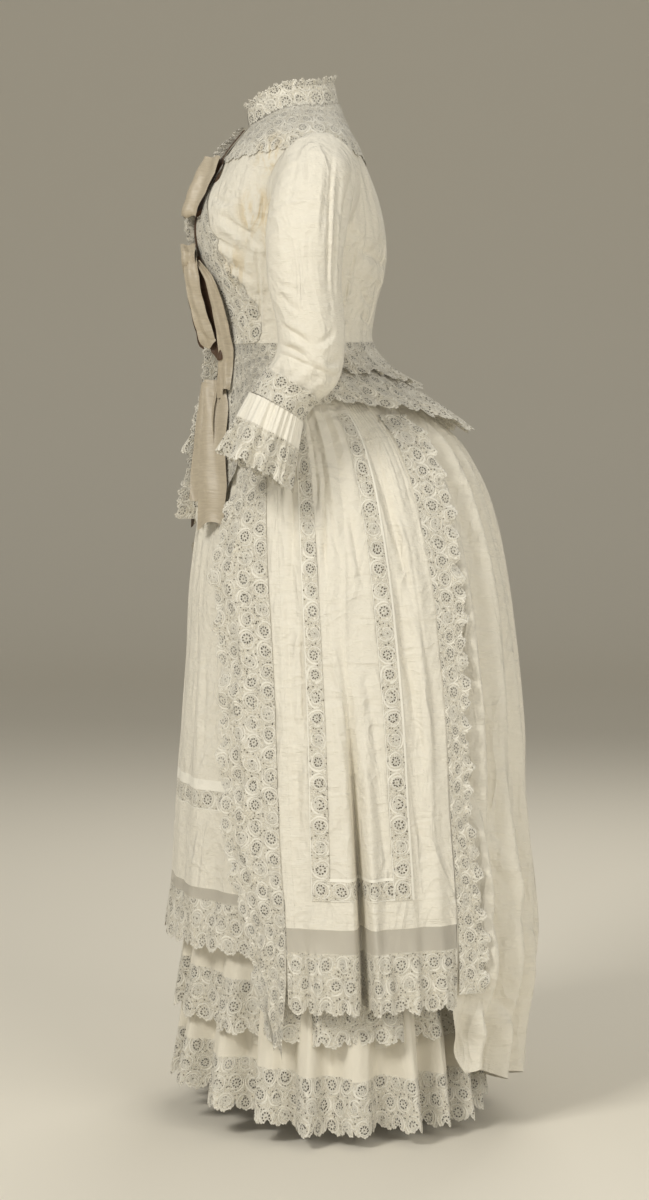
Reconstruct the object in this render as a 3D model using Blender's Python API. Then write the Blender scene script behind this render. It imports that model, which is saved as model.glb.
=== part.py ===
"""Two-piece walking dress of white eyelet cotton, about 1885, held up at the shoulders.

Metres, +Z up. The front faces -Y and the wearer's left is +X. Angles run round the body,
0 at the centre front, 90 at the left side and 180 at the centre back.
"""

import math

import bmesh
import bpy
import numpy as np

# Driving sizes
shoulder_height = 1.36
cloth = 0.0012
ribbon = 0.0010
seam_gap = 0.0003
lay_on = 0.0003
waistband_bottom = 1.024
waistband_top = 1.046
waist_seam_level = 3.0
yoke_lift = 0.0026
flute_count = 26
flounce_wave_count = 24
drape_fold_count = 10
side_panel_back_edge = 116.0


def table(columns, *rows):
    """Named columns from rows of numbers, the first column being the key."""
    names = columns.split()
    return {name: np.array([row[i] for row in rows], float) for i, name in enumerate(names)}


def along(rows, column, at):
    """A smooth curve through one column, read at values of the first column."""
    keys = next(iter(rows.values()))
    values = rows[column]
    if keys[0] > keys[-1]:
        keys, values = keys[::-1], values[::-1]
    slopes = np.gradient(values, keys)
    at = np.clip(at, keys[0], keys[-1])
    i = np.clip(np.searchsorted(keys, at) - 1, 0, len(keys) - 2)
    step = keys[i + 1] - keys[i]
    t = (at - keys[i]) / step
    rise = values[i + 1] - values[i]
    start, end = slopes[i] * step, slopes[i + 1] * step
    return values[i] + t * (start + t * (3 * rise - 2 * start - end + t * (start + end - 2 * rise)))


def ease(value, low, high):
    """0 below low, 1 above high, smooth between."""
    t = np.clip((value - low) / (high - low), 0, 1)
    return t * t * (3 - 2 * t)


# Sections of the garment, heights above the floor
torso_rings = table(
    "level front_y front_z half_width side_y side_z back_y back_z",
    (0, -0.1425, 0.790, 0.160, 0.018, 0.952, 0.247, 0.914),
    (1, -0.1285, 0.868, 0.148, 0.012, 0.980, 0.192, 0.953),
    (2, -0.1130, 0.955, 0.127, 0.004, 1.008, 0.136, 0.996),
    (3, -0.107, 1.036, 0.112, 0.000, 1.036, 0.1045, 1.040),
    (4, -0.112, 1.085, 0.120, 0.000, 1.085, 0.108, 1.080),
    (5, -0.127, 1.132, 0.137, 0.002, 1.130, 0.117, 1.120),
    (6, -0.138, 1.174, 0.151, 0.006, 1.170, 0.122, 1.158),
    (7, -0.139, 1.206, 0.158, 0.008, 1.204, 0.119, 1.194),
    (8, -0.130, 1.238, 0.160, 0.008, 1.240, 0.110, 1.231),
    (9, -0.114, 1.268, 0.158, 0.008, 1.278, 0.096, 1.266),
    (10, -0.096, 1.297, 0.148, 0.008, 1.312, 0.082, 1.300),
    (11, -0.080, 1.317, 0.105, 0.004, 1.337, 0.069, 1.333),
    (12, -0.066, 1.333, 0.062, 0.000, 1.356, 0.057, 1.367),
)
overskirt_rings = table(
    "height front half_width side back",
    (1.024, -0.1035, 0.1095, 0.000, 0.1015),
    (0.985, -0.1040, 0.125, 0.004, 0.118),
    (0.950, -0.1065, 0.140, 0.012, 0.166),
    (0.915, -0.1115, 0.156, 0.022, 0.210),
    (0.865, -0.1205, 0.175, 0.030, 0.243),
    (0.800, -0.1325, 0.194, 0.036, 0.268),
    (0.720, -0.143, 0.213, 0.042, 0.288),
    (0.620, -0.150, 0.229, 0.048, 0.302),
    (0.520, -0.157, 0.243, 0.054, 0.309),
    (0.420, -0.164, 0.254, 0.058, 0.311),
    (0.320, -0.170, 0.263, 0.062, 0.320),
    (0.220, -0.176, 0.270, 0.066, 0.322),
    (0.120, -0.178, 0.276, 0.068, 0.314),
    (0.020, -0.180, 0.280, 0.070, 0.308),
)
underskirt_rings = table(
    "height front half_width side back",
    (1.024, -0.1020, 0.1080, 0.000, 0.1000),
    (0.985, -0.1020, 0.118, 0.004, 0.108),
    (0.950, -0.1025, 0.128, 0.012, 0.148),
    (0.915, -0.1055, 0.142, 0.020, 0.188),
    (0.865, -0.1120, 0.156, 0.026, 0.220),
    (0.800, -0.121, 0.170, 0.030, 0.240),
    (0.700, -0.127, 0.187, 0.034, 0.252),
    (0.600, -0.131, 0.198, 0.036, 0.256),
    (0.450, -0.134, 0.208, 0.036, 0.252),
    (0.300, -0.136, 0.212, 0.036, 0.240),
    (0.150, -0.137, 0.218, 0.036, 0.230),
    (0.020, -0.138, 0.227, 0.036, 0.224),
)
collar_rings = table(
    "rise front_y front_z half_width side_y side_z back_y back_z",
    (0, -0.0660, 1.3335, 0.0620, 0.000, 1.3565, 0.0570, 1.3675),
    (1, -0.0680, 1.3460, 0.0610, -0.004, 1.3710, 0.0540, 1.3830),
    (2, -0.0690, 1.3570, 0.0600, -0.008, 1.3840, 0.0510, 1.3965),
)
sleeve_rings = table(
    "step mid_x mid_y mid_z half_deep front_rise half_wide outer_rise",
    (1, 0.178, 0.001, 1.239, 0.0585, 0.000, 0.019, 0.066),
    (2, 0.193, -0.006, 1.222, 0.056, 0.000, 0.034, 0.053),
    (3, 0.204, -0.014, 1.198, 0.054, 0.000, 0.043, 0.034),
    (4, 0.212, -0.021, 1.160, 0.052, 0.000, 0.047, 0.013),
    (5, 0.217, -0.022, 1.112, 0.048, 0.000, 0.046, 0.002),
    (6, 0.220, -0.016, 1.066, 0.045, 0.002, 0.044, 0.000),
    (7, 0.221, -0.014, 1.026, 0.044, 0.010, 0.043, 0.000),
    (8, 0.220, -0.021, 0.998, 0.040, 0.019, 0.042, 0.000),
    (9, 0.218, -0.036, 0.979, 0.034, 0.021, 0.040, 0.000),
    (10, 0.215, -0.050, 0.963, 0.032, 0.019, 0.038, 0.000),
    (11, 0.212, -0.064, 0.939, 0.031, 0.018, 0.037, 0.000),
)
armhole = {"middle_level": 8.1, "half_levels": 1.9, "half_angle": 30.0}

# Edges that lie across the skirt, in degrees round the body at each height
cascade_edges = table(
    "height join free",
    (1.024, 50, 40),
    (0.940, 52, 38),
    (0.830, 53.5, 34),
    (0.740, 55, 28),
    (0.660, 56.5, 32),
    (0.590, 57.5, 35),
    (0.500, 58.3, 36),
    (0.430, 59, 38),
    (0.350, 60, 41),
    (0.300, 61, 46),
    (0.250, 61.5, 50),
    (0.150, 62, 52),
    (0.100, 62.5, 54),
)
back_edging_edges = table(
    "height free",
    (0.960, 130),
    (0.890, 131),
    (0.810, 128.5),
    (0.750, 127),
    (0.640, 124),
    (0.560, 122.5),
    (0.430, 121.5),
    (0.330, 122.5),
    (0.250, 124),
    (0.170, 125),
)
overskirt_folds = table(
    "fold top_angle hem_angle depth half_width starts full",
    (1, 7, 9, -0.0045, 4.0, 0.95, 0.50),
    (2, 19, 21, 0.0045, 4.5, 0.90, 0.50),
    (3, 31, 32, -0.0060, 4.0, 0.80, 0.45),
    (4, 66, 66, -0.0035, 2.6, 0.93, 0.75),
    (5, 80, 80, 0.0040, 3.6, 0.90, 0.60),
    (6, 84, 86, -0.0250, 2.3, 0.66, 0.24),
    (7, 92, 91, 0.0060, 3.0, 0.66, 0.30),
    (8, 104, 105, -0.0050, 2.6, 0.97, 0.85),
    (9, 109, 110, 0.0040, 2.4, 0.97, 0.85),
    (10, -10, -13, 0.0045, 4.0, 0.95, 0.50),
    (11, -24, -26, -0.0055, 4.0, 0.85, 0.45),
    (12, -36, -37, 0.0040, 3.5, 0.80, 0.45),
    (13, -67, -66, -0.0035, 2.6, 0.93, 0.75),
    (14, -79, -80, 0.0040, 3.6, 0.90, 0.60),
    (15, -85, -88, -0.0220, 2.4, 0.62, 0.26),
    (16, -93, -94, 0.0050, 3.0, 0.66, 0.30),
    (17, -105, -104, -0.0050, 2.6, 0.97, 0.85),
    (18, -110, -110, 0.0040, 2.4, 0.97, 0.85),
)
drape_gather = table(
    "height depth",
    (1.024, 0.0000),
    (0.985, 0.0020),
    (0.915, 0.0045),
    (0.800, 0.0070),
    (0.600, 0.0085),
    (0.300, 0.0100),
    (0.040, 0.0130),
)
lower_flounce_hang = table(
    "height lift depth",
    (0.2250, 0.0030, 0.0010),
    (0.1500, 0.0080, 0.0042),
    (0.0200, 0.0205, 0.0105),
)
upper_flounce_hang = table(
    "height lift depth",
    (0.3600, 0.0022, 0.0006),
    (0.2250, 0.0130, 0.0034),
    (0.1250, 0.0262, 0.0052),
)

# Grid lines of the panels
overskirt_heights = (0.985, 0.94, 0.88, 0.80, 0.70, 0.58)
edging_heights = (0.105, 0.16, 0.222, 0.268, 0.305, 0.335, 0.39, 0.45, 0.515, 0.58)
edging_heights += (0.64, 0.70, 0.75, 0.80, 0.84, 0.88, 0.91, 0.94)
side_angles = (57, 61.5, 66, 71, 76.3, 80, 83, 84.9, 86.6, 88.3, 91.5, 95.8, 102.2, 106, 109, 112.5, 116)
insertion_front_leg = (71, 76.3)
insertion_back_leg = (95.8, 102.2)
insertion_heights = (0.335, 0.305)
insertion_top = 0.94
bodice_levels = (3, 4, 5, 6, 7, 8, 9, 9.6, 10, 11, 12)
bodice_columns = 6


def ring_points(angle, front, side, back, half_width, height):
    """Points on a body section of two half ellipses."""
    turn = np.radians(angle)
    deep = np.where(np.cos(turn) > 0, front - side, side - back)
    return np.stack([half_width * np.sin(turn), side + deep * np.cos(turn), height + 0 * turn], -1)


def round_height(angle, front_z, side_z, back_z, tab):
    """Height round a tilted section; tab is how squarely the front hangs down."""
    turned = np.abs((angle + 180) % 360 - 180)
    square = np.cos(np.radians(turned)) ** 2
    tabbed = 1 - ease(turned, 26, 60)
    front = side_z + (front_z - side_z) * (square + (tabbed - square) * tab)
    back = side_z + (back_z - side_z) * square
    return np.where(turned < 90, front, back)


def tilted_ring(rings, angle, at, tab):
    """A point at this angle and level of a table of tilted sections."""
    read = {name: along(rings, name, at) for name in rings}
    height = round_height(angle, read["front_z"], read["side_z"], read["back_z"], tab)
    return ring_points(angle, read["front_y"], read["side_y"], read["back_y"], read["half_width"], height)


def torso(angle, level):
    return tilted_ring(torso_rings, angle, level, ease(3 - level, 0, 1))


def level_ring(rings, angle, height):
    read = {name: along(rings, name, height) for name in rings}
    return ring_points(angle, read["front"], read["side"], read["back"], read["half_width"], height)


def outward(surface, u, v, facing=1.0):
    """Unit normal of a surface, by small steps."""
    step_u, step_v = 0.02, 0.0004
    across = surface(u + step_u, v) - surface(u - step_u, v)
    up = surface(u, v + step_v) - surface(u, v - step_v)
    normal = np.cross(across, up) * facing
    return normal / np.linalg.norm(normal, axis=-1, keepdims=True)


def pushed(rings, angle, height, distance):
    """A point of a level section, moved out horizontally."""
    flat = outward(lambda a, h: level_ring(rings, a, h), angle, height)
    flat[..., 2] = 0
    flat /= np.linalg.norm(flat, axis=-1, keepdims=True)
    return level_ring(rings, angle, height) + flat * np.asarray(distance)[..., None]


def fold_depth(angle, height):
    """How far the overskirt's folds stand out of its plain form."""
    signed = (angle + 180) % 360 - 180
    total = 0 * signed
    for i in range(len(overskirt_folds["fold"])):
        fold = {name: values[i] for name, values in overskirt_folds.items()}
        grown = ease(-height, -fold["starts"], -fold["full"])
        middle = fold["top_angle"] + (fold["hem_angle"] - fold["top_angle"]) * grown
        total = total + fold["depth"] * grown * np.exp(-(((signed - middle) / fold["half_width"]) ** 2))
    back = np.abs(signed)
    gather = along(drape_gather, "depth", height) * ease(back, 118, 126)
    phase = 2 * math.pi * drape_fold_count * (angle - side_panel_back_edge) / 128
    return total + gather * np.sin(phase + 0.7 * np.sin(angle / 9) + 2.0 * (1 - height))


def overskirt(angle, height):
    return pushed(overskirt_rings, angle, height, fold_depth(angle, height))


def join_shift(angle, height):
    """Side panel grid lines follow the cascade's join near it and stand upright further back."""
    shift = along(cascade_edges, "join", height) - 57
    return angle + np.sign(angle) * shift * np.clip((71 - np.abs(angle)) / 14, 0, 1)


def underskirt(angle, height):
    return level_ring(underskirt_rings, angle, height)


# Cloth walls
def even(start, end, count):
    return np.linspace(start, end, count + 1)


def make_material(name, colour, roughness):
    material = bpy.data.materials.new(name)
    material.use_nodes = True
    shader = material.node_tree.nodes["Principled BSDF"]
    shader.inputs["Base Color"].default_value = (*colour, 1)
    shader.inputs["Roughness"].default_value = roughness
    shader.inputs["Metallic"].default_value = 0.0
    return material


def cloth_wall(name, surface, columns, rows, material, thickness=cloth, facing=1.0, keep=None):
    """A closed wall of cloth over a grid of the surface, which is its outer face."""
    mesh = bmesh.new()
    wide, high = len(columns) - 1, len(rows) - 1
    bmesh.ops.create_grid(mesh, x_segments=wide, y_segments=high, size=0.5)

    def grid_place(vertex):
        return round((vertex.co.x + 0.5) * wide), round((vertex.co.y + 0.5) * high)

    if keep:
        left_out = []
        for face in mesh.faces:
            places = [grid_place(vertex) for vertex in face.verts]
            column = min(place[0] for place in places)
            row = min(place[1] for place in places)
            if not keep(column, row):
                left_out.append(face)
        bmesh.ops.delete(mesh, geom=left_out, context="FACES")
    made = bmesh.ops.extrude_face_region(mesh, geom=mesh.faces[:], use_keep_orig=True)["geom"]
    bmesh.ops.recalc_face_normals(mesh, faces=mesh.faces[:])
    inner = {item for item in made if isinstance(item, bmesh.types.BMVert)}
    vertices = list(mesh.verts)
    places = [grid_place(vertex) for vertex in vertices]
    u = np.array([columns[i] for i, _ in places], float)
    v = np.array([rows[j] for _, j in places], float)
    sunk = np.array([thickness if vertex in inner else 0.0 for vertex in vertices])
    points = surface(u, v) - outward(surface, u, v, facing) * sunk[:, None]
    for vertex, point in zip(vertices, points):
        vertex.co = (point[0], point[1], point[2] - shoulder_height)
    if mesh.calc_volume(signed=True) < 0:
        bmesh.ops.reverse_faces(mesh, faces=mesh.faces[:])
    return add_object(name, mesh, material)


def add_object(name, mesh, material):
    data = bpy.data.meshes.new(name)
    mesh.to_mesh(data)
    mesh.free()
    data.materials.append(material)
    made = bpy.data.objects.new(name, data)
    dress.objects.link(made)
    return made


def side_name(side):
    return "left" if side > 0 else "right"


# Jacket
def armhole_front_angle(level):
    """Where the armhole's edge crosses each level of the front, in degrees."""
    rise = np.clip((level - armhole["middle_level"]) / armhole["half_levels"], 0, 1)
    return 90 - armhole["half_angle"] * np.sqrt(1 - rise**2)


def make_bodice(side, material):
    seam = 0.075
    centre = 1.2

    def front(u, level):
        edge = armhole_front_angle(level) - seam
        return torso(side * (centre + (edge - centre) * u), level)

    def back(u, level):
        edge = 180 - armhole_front_angle(level) + seam
        return torso(side * (edge + (180 - seam - edge) * u), level)

    def under_arm(angle, share):
        lean = np.clip((angle - 90) / armhole["half_angle"], -1, 1)
        top = armhole["middle_level"] - armhole["half_levels"] * np.sqrt(1 - lean**2) - 0.01
        level = np.where(share <= 6, share, 6 + (share - 6) * (top - 6))
        return torso(side * angle, level)

    columns = even(0, 1, bodice_columns)
    cloth_wall("bodice_front_" + side_name(side), front, columns, bodice_levels, material, facing=side)
    cloth_wall("bodice_back_" + side_name(side), back, columns, bodice_levels, material, facing=side)
    half = armhole["half_angle"]
    angles = even(90 - half + seam, 90 + half - seam, 6)
    rows = (3, 4, 5, 6, 7)
    cloth_wall("bodice_side_" + side_name(side), under_arm, angles, rows, material, facing=side)
    make_front_band(side, front)


def make_front_band(side, front):
    """The eyelet band lies on the front's first two columns of grid."""

    def laid(u, level):
        return front(u, level) + outward(front, u, level, side) * (lay_on + cloth)

    columns = even(0, 1, bodice_columns)[:3]
    cloth_wall("front_band_" + side_name(side), laid, columns, bodice_levels[:8], eyelet, facing=side)


def make_peplum(side, material):
    seam = 0.075

    def scallop(angle, level, count, start, end):
        """Only the hem row moves, in shallow points."""
        wave = np.abs(np.sin(math.pi * count * (angle - start) / (end - start)))
        return level + ease(-level, -0.45, 0) * 0.12 * (1 - wave)

    def front(angle, level):
        return torso(side * angle, scallop(angle, level, 7, 1.2, 60))

    def back(angle, level):
        flare = 0.003 * ease(3 - level, 0, 3) * (1 - np.cos(math.pi * 10 * (angle - 60) / 120))
        form = lambda a, l: torso(side * a, l)
        moved = outward(form, angle, np.maximum(level, 0.01), side) * np.asarray(flare)[..., None]
        return torso(side * angle, scallop(angle, level, 12, 60, 180)) + moved

    rows = (0, 0.5, 1.6, waist_seam_level - 0.006)
    angles = even(1.2, 60 - seam, 14)
    cloth_wall("peplum_front_" + side_name(side), front, angles, rows, material, facing=side)
    angles = even(60 + seam, 180 - seam, 24)
    cloth_wall("peplum_back_" + side_name(side), back, angles, rows, material, facing=side)


def make_yoke(side, material):
    def laid(angle, level):
        form = lambda a, l: torso(side * a, l)
        return form(angle, level) + outward(form, angle, level, side) * yoke_lift

    rows = (9.95, 10.4, 11, 11.97)
    cloth_wall("yoke_" + side_name(side), laid, even(14, 179, 14), rows, material, facing=side)


def make_collar(material):
    def band(angle, rise):
        return tilted_ring(collar_rings, angle, rise, 0.0)

    frill_rise = 0.010
    frill_waves = 20

    def frill(angle, share):
        flat = outward(band, angle, 1.9 + 0 * share)
        ripple = share * (0.004 + 0.0030 * np.sin(np.radians(angle * frill_waves)))
        top = band(angle, 2 + 0 * share) + flat * ripple[..., None]
        top[..., 2] += seam_gap + share * frill_rise
        return top

    cloth_wall("collar_band", band, even(3, 357, 24), (0, 2), material)
    cloth_wall("collar_frill", frill, even(3, 357, 42), (0, 1), material)


def armhole_point(turn):
    """The armhole's edge, from its front (0) over the shoulder (90) to its back (180)."""
    round_it = np.radians(turn)
    angle = 90 - armhole["half_angle"] * np.cos(round_it)
    level = armhole["middle_level"] + armhole["half_levels"] * np.sin(round_it)
    return torso(angle, level) + np.array([0.0011, 0, 0])


def sleeve(turn, step):
    """A point of the left sleeve; step 0 is the armhole."""
    read = {name: along(sleeve_rings, name, np.maximum(step, 1)) for name in sleeve_rings}
    ahead, out = np.cos(np.radians(turn)), np.sin(np.radians(turn))
    ring = np.stack(
        [
            read["mid_x"] + read["half_wide"] * out,
            read["mid_y"] - read["half_deep"] * ahead,
            read["mid_z"] + read["front_rise"] * ahead + read["outer_rise"] * out,
        ],
        -1,
    )
    share = np.clip(1 - step, 0, 1)[..., None]
    return ring + (armhole_point(turn) - ring) * share


def mirrored(surface, side):
    return lambda u, v: surface(u, v) * np.array([side, 1, 1])


def make_sleeve(side, plain, lace):
    seam = 0.15
    front_seam, back_seam = -24, 200
    last = 10
    shape = mirrored(sleeve, side)
    steps = (0, 0.5, 1, 2, 3, 4, 5, 6, 7, 8, 9, last - 0.01)
    upper = even(front_seam + seam, back_seam - seam, 9)
    under = even(back_seam + seam, 360 + front_seam - seam, 5)
    name = side_name(side)
    cloth_wall("sleeve_upper_" + name, shape, upper, steps, plain, facing=-side)
    cloth_wall("sleeve_under_" + name, shape, under, steps, plain, facing=-side)
    band_start = 270
    band = even(band_start + seam, band_start + 360 - seam, 16)
    cloth_wall("cuff_band_" + name, shape, band, (last + 0.01, 10.5, 11), lace, facing=-side)

    def ruffle(turn, share):
        """Flared and fluted, longer under the arm."""
        ahead, out = np.cos(np.radians(turn)), np.sin(np.radians(turn))
        middle = np.array([0.212, -0.064, 0.939]) + share[..., None] * np.array([-0.002, -0.033, -0.069])
        flute = 1 + 0.13 * share * np.sin(np.radians(turn * 8))
        deep = (0.031 + 0.017 * share) * flute
        wide = (0.037 + 0.015 * share) * flute
        rise = (0.018 + 0.012 * share) * flute
        return mirror * (middle + np.stack([wide * out, -deep * ahead, rise * ahead], -1))

    mirror = np.array([side, 1, 1])
    turns = even(band_start + seam, band_start + 360 - seam, 32)
    cloth_wall("cuff_ruffle_" + name, ruffle, turns, (0.004, 0.5, 1), lace, facing=-side)


# Ribbons and edging down the centre front
def make_front_edging(side, material):
    """A standing strip down each front's edge, just ahead of the eyelet band."""
    reach = table(
        "level ahead",
        (12, 0.006),
        (10, 0.010),
        (7, 0.012),
        (4, 0.014),
        (2, 0.024),
        (0, 0.026),
    )
    levels = (0.1, 0.5, 1.6, 2.99, 4, 5, 6, 7, 8, 9, 9.6, 10, 11, 11.9)

    def strip(share, level):
        form = lambda angle, at: torso(side * angle, at)
        edge = 1.6 + 0 * share
        off = 2 * lay_on + cloth + 0.0004
        base = form(edge, level) + outward(form, edge, level, side) * off
        ahead = share * along(reach, "ahead", level) * (1 + 0.15 * np.sin(level * 5 + side))
        base[..., 1] -= ahead
        base[..., 0] = side * (0.0025 + share * (0.0050 + 0.0003 * np.sin(level * 4.3)))
        return base

    name = "front_edging_" + side_name(side)
    cloth_wall(name, strip, even(0, 1, 2), levels, material, thickness=ribbon, facing=side)


def make_ribbon(name, rows, side, segments, material):
    """A strip hanging down the front between an outer edge and an inner edge further forward."""
    last = len(rows["station"]) - 1

    def strip(share, station):
        read = {column: along(rows, column, station) for column in rows}
        x = read["outer_x"] + share * (read["inner_x"] - read["outer_x"])
        y = read["outer_y"] + share * (read["inner_y"] - read["outer_y"])
        return np.stack([side * x, y, read["height"]], -1)

    cloth_wall(name, strip, even(0, 1, 1), even(0, last, segments), material, ribbon, side)


def make_bows(material):
    first_loop = table(
        "station outer_x outer_y inner_x inner_y height",
        (0, 0.0200, -0.1120, 0.0093, -0.1180, 1.284),
        (1, 0.0380, -0.1230, 0.0160, -0.1400, 1.262),
        (2, 0.0440, -0.1370, 0.0180, -0.1540, 1.236),
        (3, 0.0400, -0.1460, 0.0180, -0.1600, 1.212),
        (4, 0.0300, -0.1410, 0.0140, -0.1520, 1.216),
        (5, 0.0260, -0.1330, 0.0110, -0.1430, 1.240),
        (6, 0.0200, -0.1210, 0.0100, -0.1290, 1.266),
    )
    second_loop = table(
        "station outer_x outer_y inner_x inner_y height",
        (0, 0.0180, -0.1420, 0.0093, -0.1480, 1.158),
        (1, 0.0400, -0.1270, 0.0160, -0.1510, 1.132),
        (2, 0.0470, -0.1140, 0.0180, -0.1400, 1.098),
        (3, 0.0440, -0.1070, 0.0180, -0.1310, 1.064),
        (4, 0.0380, -0.1080, 0.0170, -0.1240, 1.046),
        (5, 0.0300, -0.1095, 0.0130, -0.1220, 1.062),
        (6, 0.0300, -0.1180, 0.0115, -0.1310, 1.100),
        (7, 0.0200, -0.1350, 0.0100, -0.1410, 1.140),
    )
    long_tail = table(
        "station outer_x outer_y inner_x inner_y height",
        (0, 0.0380, -0.1080, 0.0170, -0.1240, 1.0455),
        (1, 0.0540, -0.1000, 0.0220, -0.1220, 1.020),
        (2, 0.0580, -0.1030, 0.0260, -0.1210, 1.000),
        (3, 0.0600, -0.1060, 0.0300, -0.1220, 0.975),
    )
    hanging_end = table(
        "station outer_x outer_y inner_x inner_y height",
        (0, 0.0320, -0.1190, 0.0074, -0.1300, 0.962),
        (1, 0.0600, -0.1050, 0.0280, -0.1330, 0.935),
        (2, 0.0850, -0.1110, 0.0510, -0.1410, 0.885),
        (3, 0.0980, -0.1090, 0.0640, -0.1450, 0.845),
        (4, 0.1050, -0.1185, 0.0710, -0.1500, 0.800),
    )
    for side in (1, -1):
        name = side_name(side)
        make_ribbon("bow_one_loop_" + name, first_loop, side, 6, material)
        make_ribbon("bow_two_loop_" + name, second_loop, side, 7, material)
        make_ribbon("bow_two_tail_" + name, long_tail, side, 4, material)
        make_ribbon("bow_three_end_" + name, hanging_end, side, 6, material)


# Skirt
def make_waistband(material):
    def ring(angle, height):
        return ring_points(angle, -0.105, 0.0, 0.1025, 0.110, height)

    rows = (waistband_bottom, waistband_top)
    cloth_wall("skirt_waistband", ring, even(180.2, 539.8, 26), rows, material, thickness=0.003)


def make_underskirt(material):
    rows = (0.10, 0.225, 0.36, 0.70, 0.88, 0.94, 0.985, waistband_bottom - seam_gap)
    gap = 0.08
    cloth_wall("underskirt_front", underskirt, even(-90 + gap, 90 - gap, 12), rows, material)
    cloth_wall("underskirt_back", underskirt, even(90 + gap, 270 - gap, 12), rows, material)


def make_flounce(name, hang, waves, columns_a_wave, rows, scallop, material):
    """A gathered strip on the underskirt, fluted more and more towards its hem."""
    hem = rows[0]

    def fluted(angle, height):
        drift = 1.3 * np.sin(np.radians(angle * 3)) + 0.8 * np.sin(np.radians(angle * 5 + 40))
        wave = np.sin(np.radians(angle * waves) + drift)
        size = 1 + 0.28 * np.sin(np.radians(angle * 4 + 70))
        out = along(hang, "lift", height) + along(hang, "depth", height) * wave * size
        droop = scallop * ease(-height, -hem - 0.05, -hem) * np.abs(np.sin(np.radians(angle * waves)))
        moved = pushed(underskirt_rings, angle, height, out)
        moved[..., 2] -= droop
        return moved

    gap = 0.08
    count = waves * columns_a_wave // 2
    cloth_wall(name + "_front", fluted, even(-90 + gap, 90 - gap, count), rows, material)
    cloth_wall(name + "_back", fluted, even(90 + gap, 270 - gap, count), rows, material)


def make_apron(plain, lace):
    seam = 0.075

    def panel(u, height):
        edge = along(cascade_edges, "join", height) - seam
        return overskirt(u * edge, height)

    def border(u, height):
        """The eyelet flounce hangs free, slightly flared, with a scalloped hem."""
        low = ease(-height, -0.30, -0.222)
        moved = panel(u, height)
        ring = outward(panel, u * 0.98, height)
        ring[..., 2] = 0
        free = 1 - ease(np.abs(u), 0.55, 0.80)
        flare = low * free * (0.004 + 0.0035 * np.sin(u * 16))
        moved += ring * flare[..., None]
        moved[..., 2] += low * 0.008 * (1 - np.abs(np.sin(u * math.pi * 6)))
        return moved

    half_gap = seam_gap / 2
    columns = even(-1, 1, 12)
    top = (0.45 + half_gap, *overskirt_heights[::-1], waistband_bottom - seam_gap)
    cloth_wall("apron_upper", panel, columns, top, plain)
    cloth_wall("apron_insertion", panel, columns, (0.41 + half_gap, 0.45 - half_gap), lace)
    cloth_wall("apron_lower", panel, columns, (0.305 + half_gap, 0.335, 0.41 - half_gap), plain)
    cloth_wall("apron_border", border, even(-1, 1, 24), (0.222, 0.268, 0.305 - half_gap), lace)


def make_side_panel(side, plain, lace):
    half_gap = seam_gap / 2
    edge_gap = 0.04
    name = side_name(side)

    def panel(angle, height):
        return overskirt(join_shift(side * angle, height), height)

    def insertion(angle, height):
        return panel(angle, height) + outward(panel, angle, height, side) * (lay_on + cloth)

    def border(angle, height):
        low = ease(-height, -0.268, -0.155)
        moved = panel(angle, height)
        count = 12 / (side_angles[-1] - side_angles[0])
        moved[..., 2] += low * 0.009 * (1 - np.abs(np.sin(math.pi * (angle - side_angles[0]) * count)))
        return moved

    angles = list(side_angles)
    angles[0] += edge_gap
    angles[-1] -= edge_gap
    rows = (0.268 + half_gap, *insertion_heights[::-1], 0.45, *overskirt_heights[::-1])
    rows = (*rows, waistband_bottom - seam_gap)
    cloth_wall("side_panel_" + name, panel, angles, rows, plain, facing=side)

    def in_insertion(column, row):
        low, high = rows[row], rows[row + 1]
        start = side_angles[column]
        leg = start in (insertion_front_leg[0], insertion_back_leg[0])
        foot = low == insertion_heights[1] and insertion_front_leg[0] <= start < insertion_back_leg[1]
        return foot or (leg and low >= insertion_heights[1] and high <= insertion_top)

    cloth_wall("side_insertion_" + name, insertion, angles, rows, lace, facing=side, keep=in_insertion)
    angles[-1] -= 4 * edge_gap
    fine = np.interp(even(0, len(angles) - 1, 24), range(len(angles)), angles)
    cloth_wall("side_border_" + name, border, fine, (0.155, 0.222, 0.268 - half_gap), lace, facing=side)


def make_cascade(side, material):
    """An eyelet flounce sewn to the side panel's front edge, lying forward over the apron."""

    def flounce(share, height):
        join = along(cascade_edges, "join", height)
        free = along(cascade_edges, "free", height) + 0.8 * np.sin(height * 60 + side)
        angle = join + (free - join) * share
        wave = np.sin(height * 44 + side * 0.8) + 0.5 * np.sin(height * 71)
        pressed = 1 - 0.7 * ease(height, 0.78, 0.86)
        lift = lay_on + cloth + share * (0.0080 + 0.0022 * wave) * pressed
        base = overskirt(side * (join + 0 * share), height)
        ahead = level_ring(overskirt_rings, side * angle, height)
        start = level_ring(overskirt_rings, side * join, height)
        out = outward(lambda a, h: level_ring(overskirt_rings, a, h), side * angle, height)
        out[..., 2] = 0
        return base + (ahead - start) + out * lift[..., None]

    name = "cascade_" + side_name(side)
    heights = [height for height in edging_heights if height <= 0.88]
    cloth_wall(name, flounce, even(0.012, 1, 3), heights, material, facing=-side)


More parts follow.
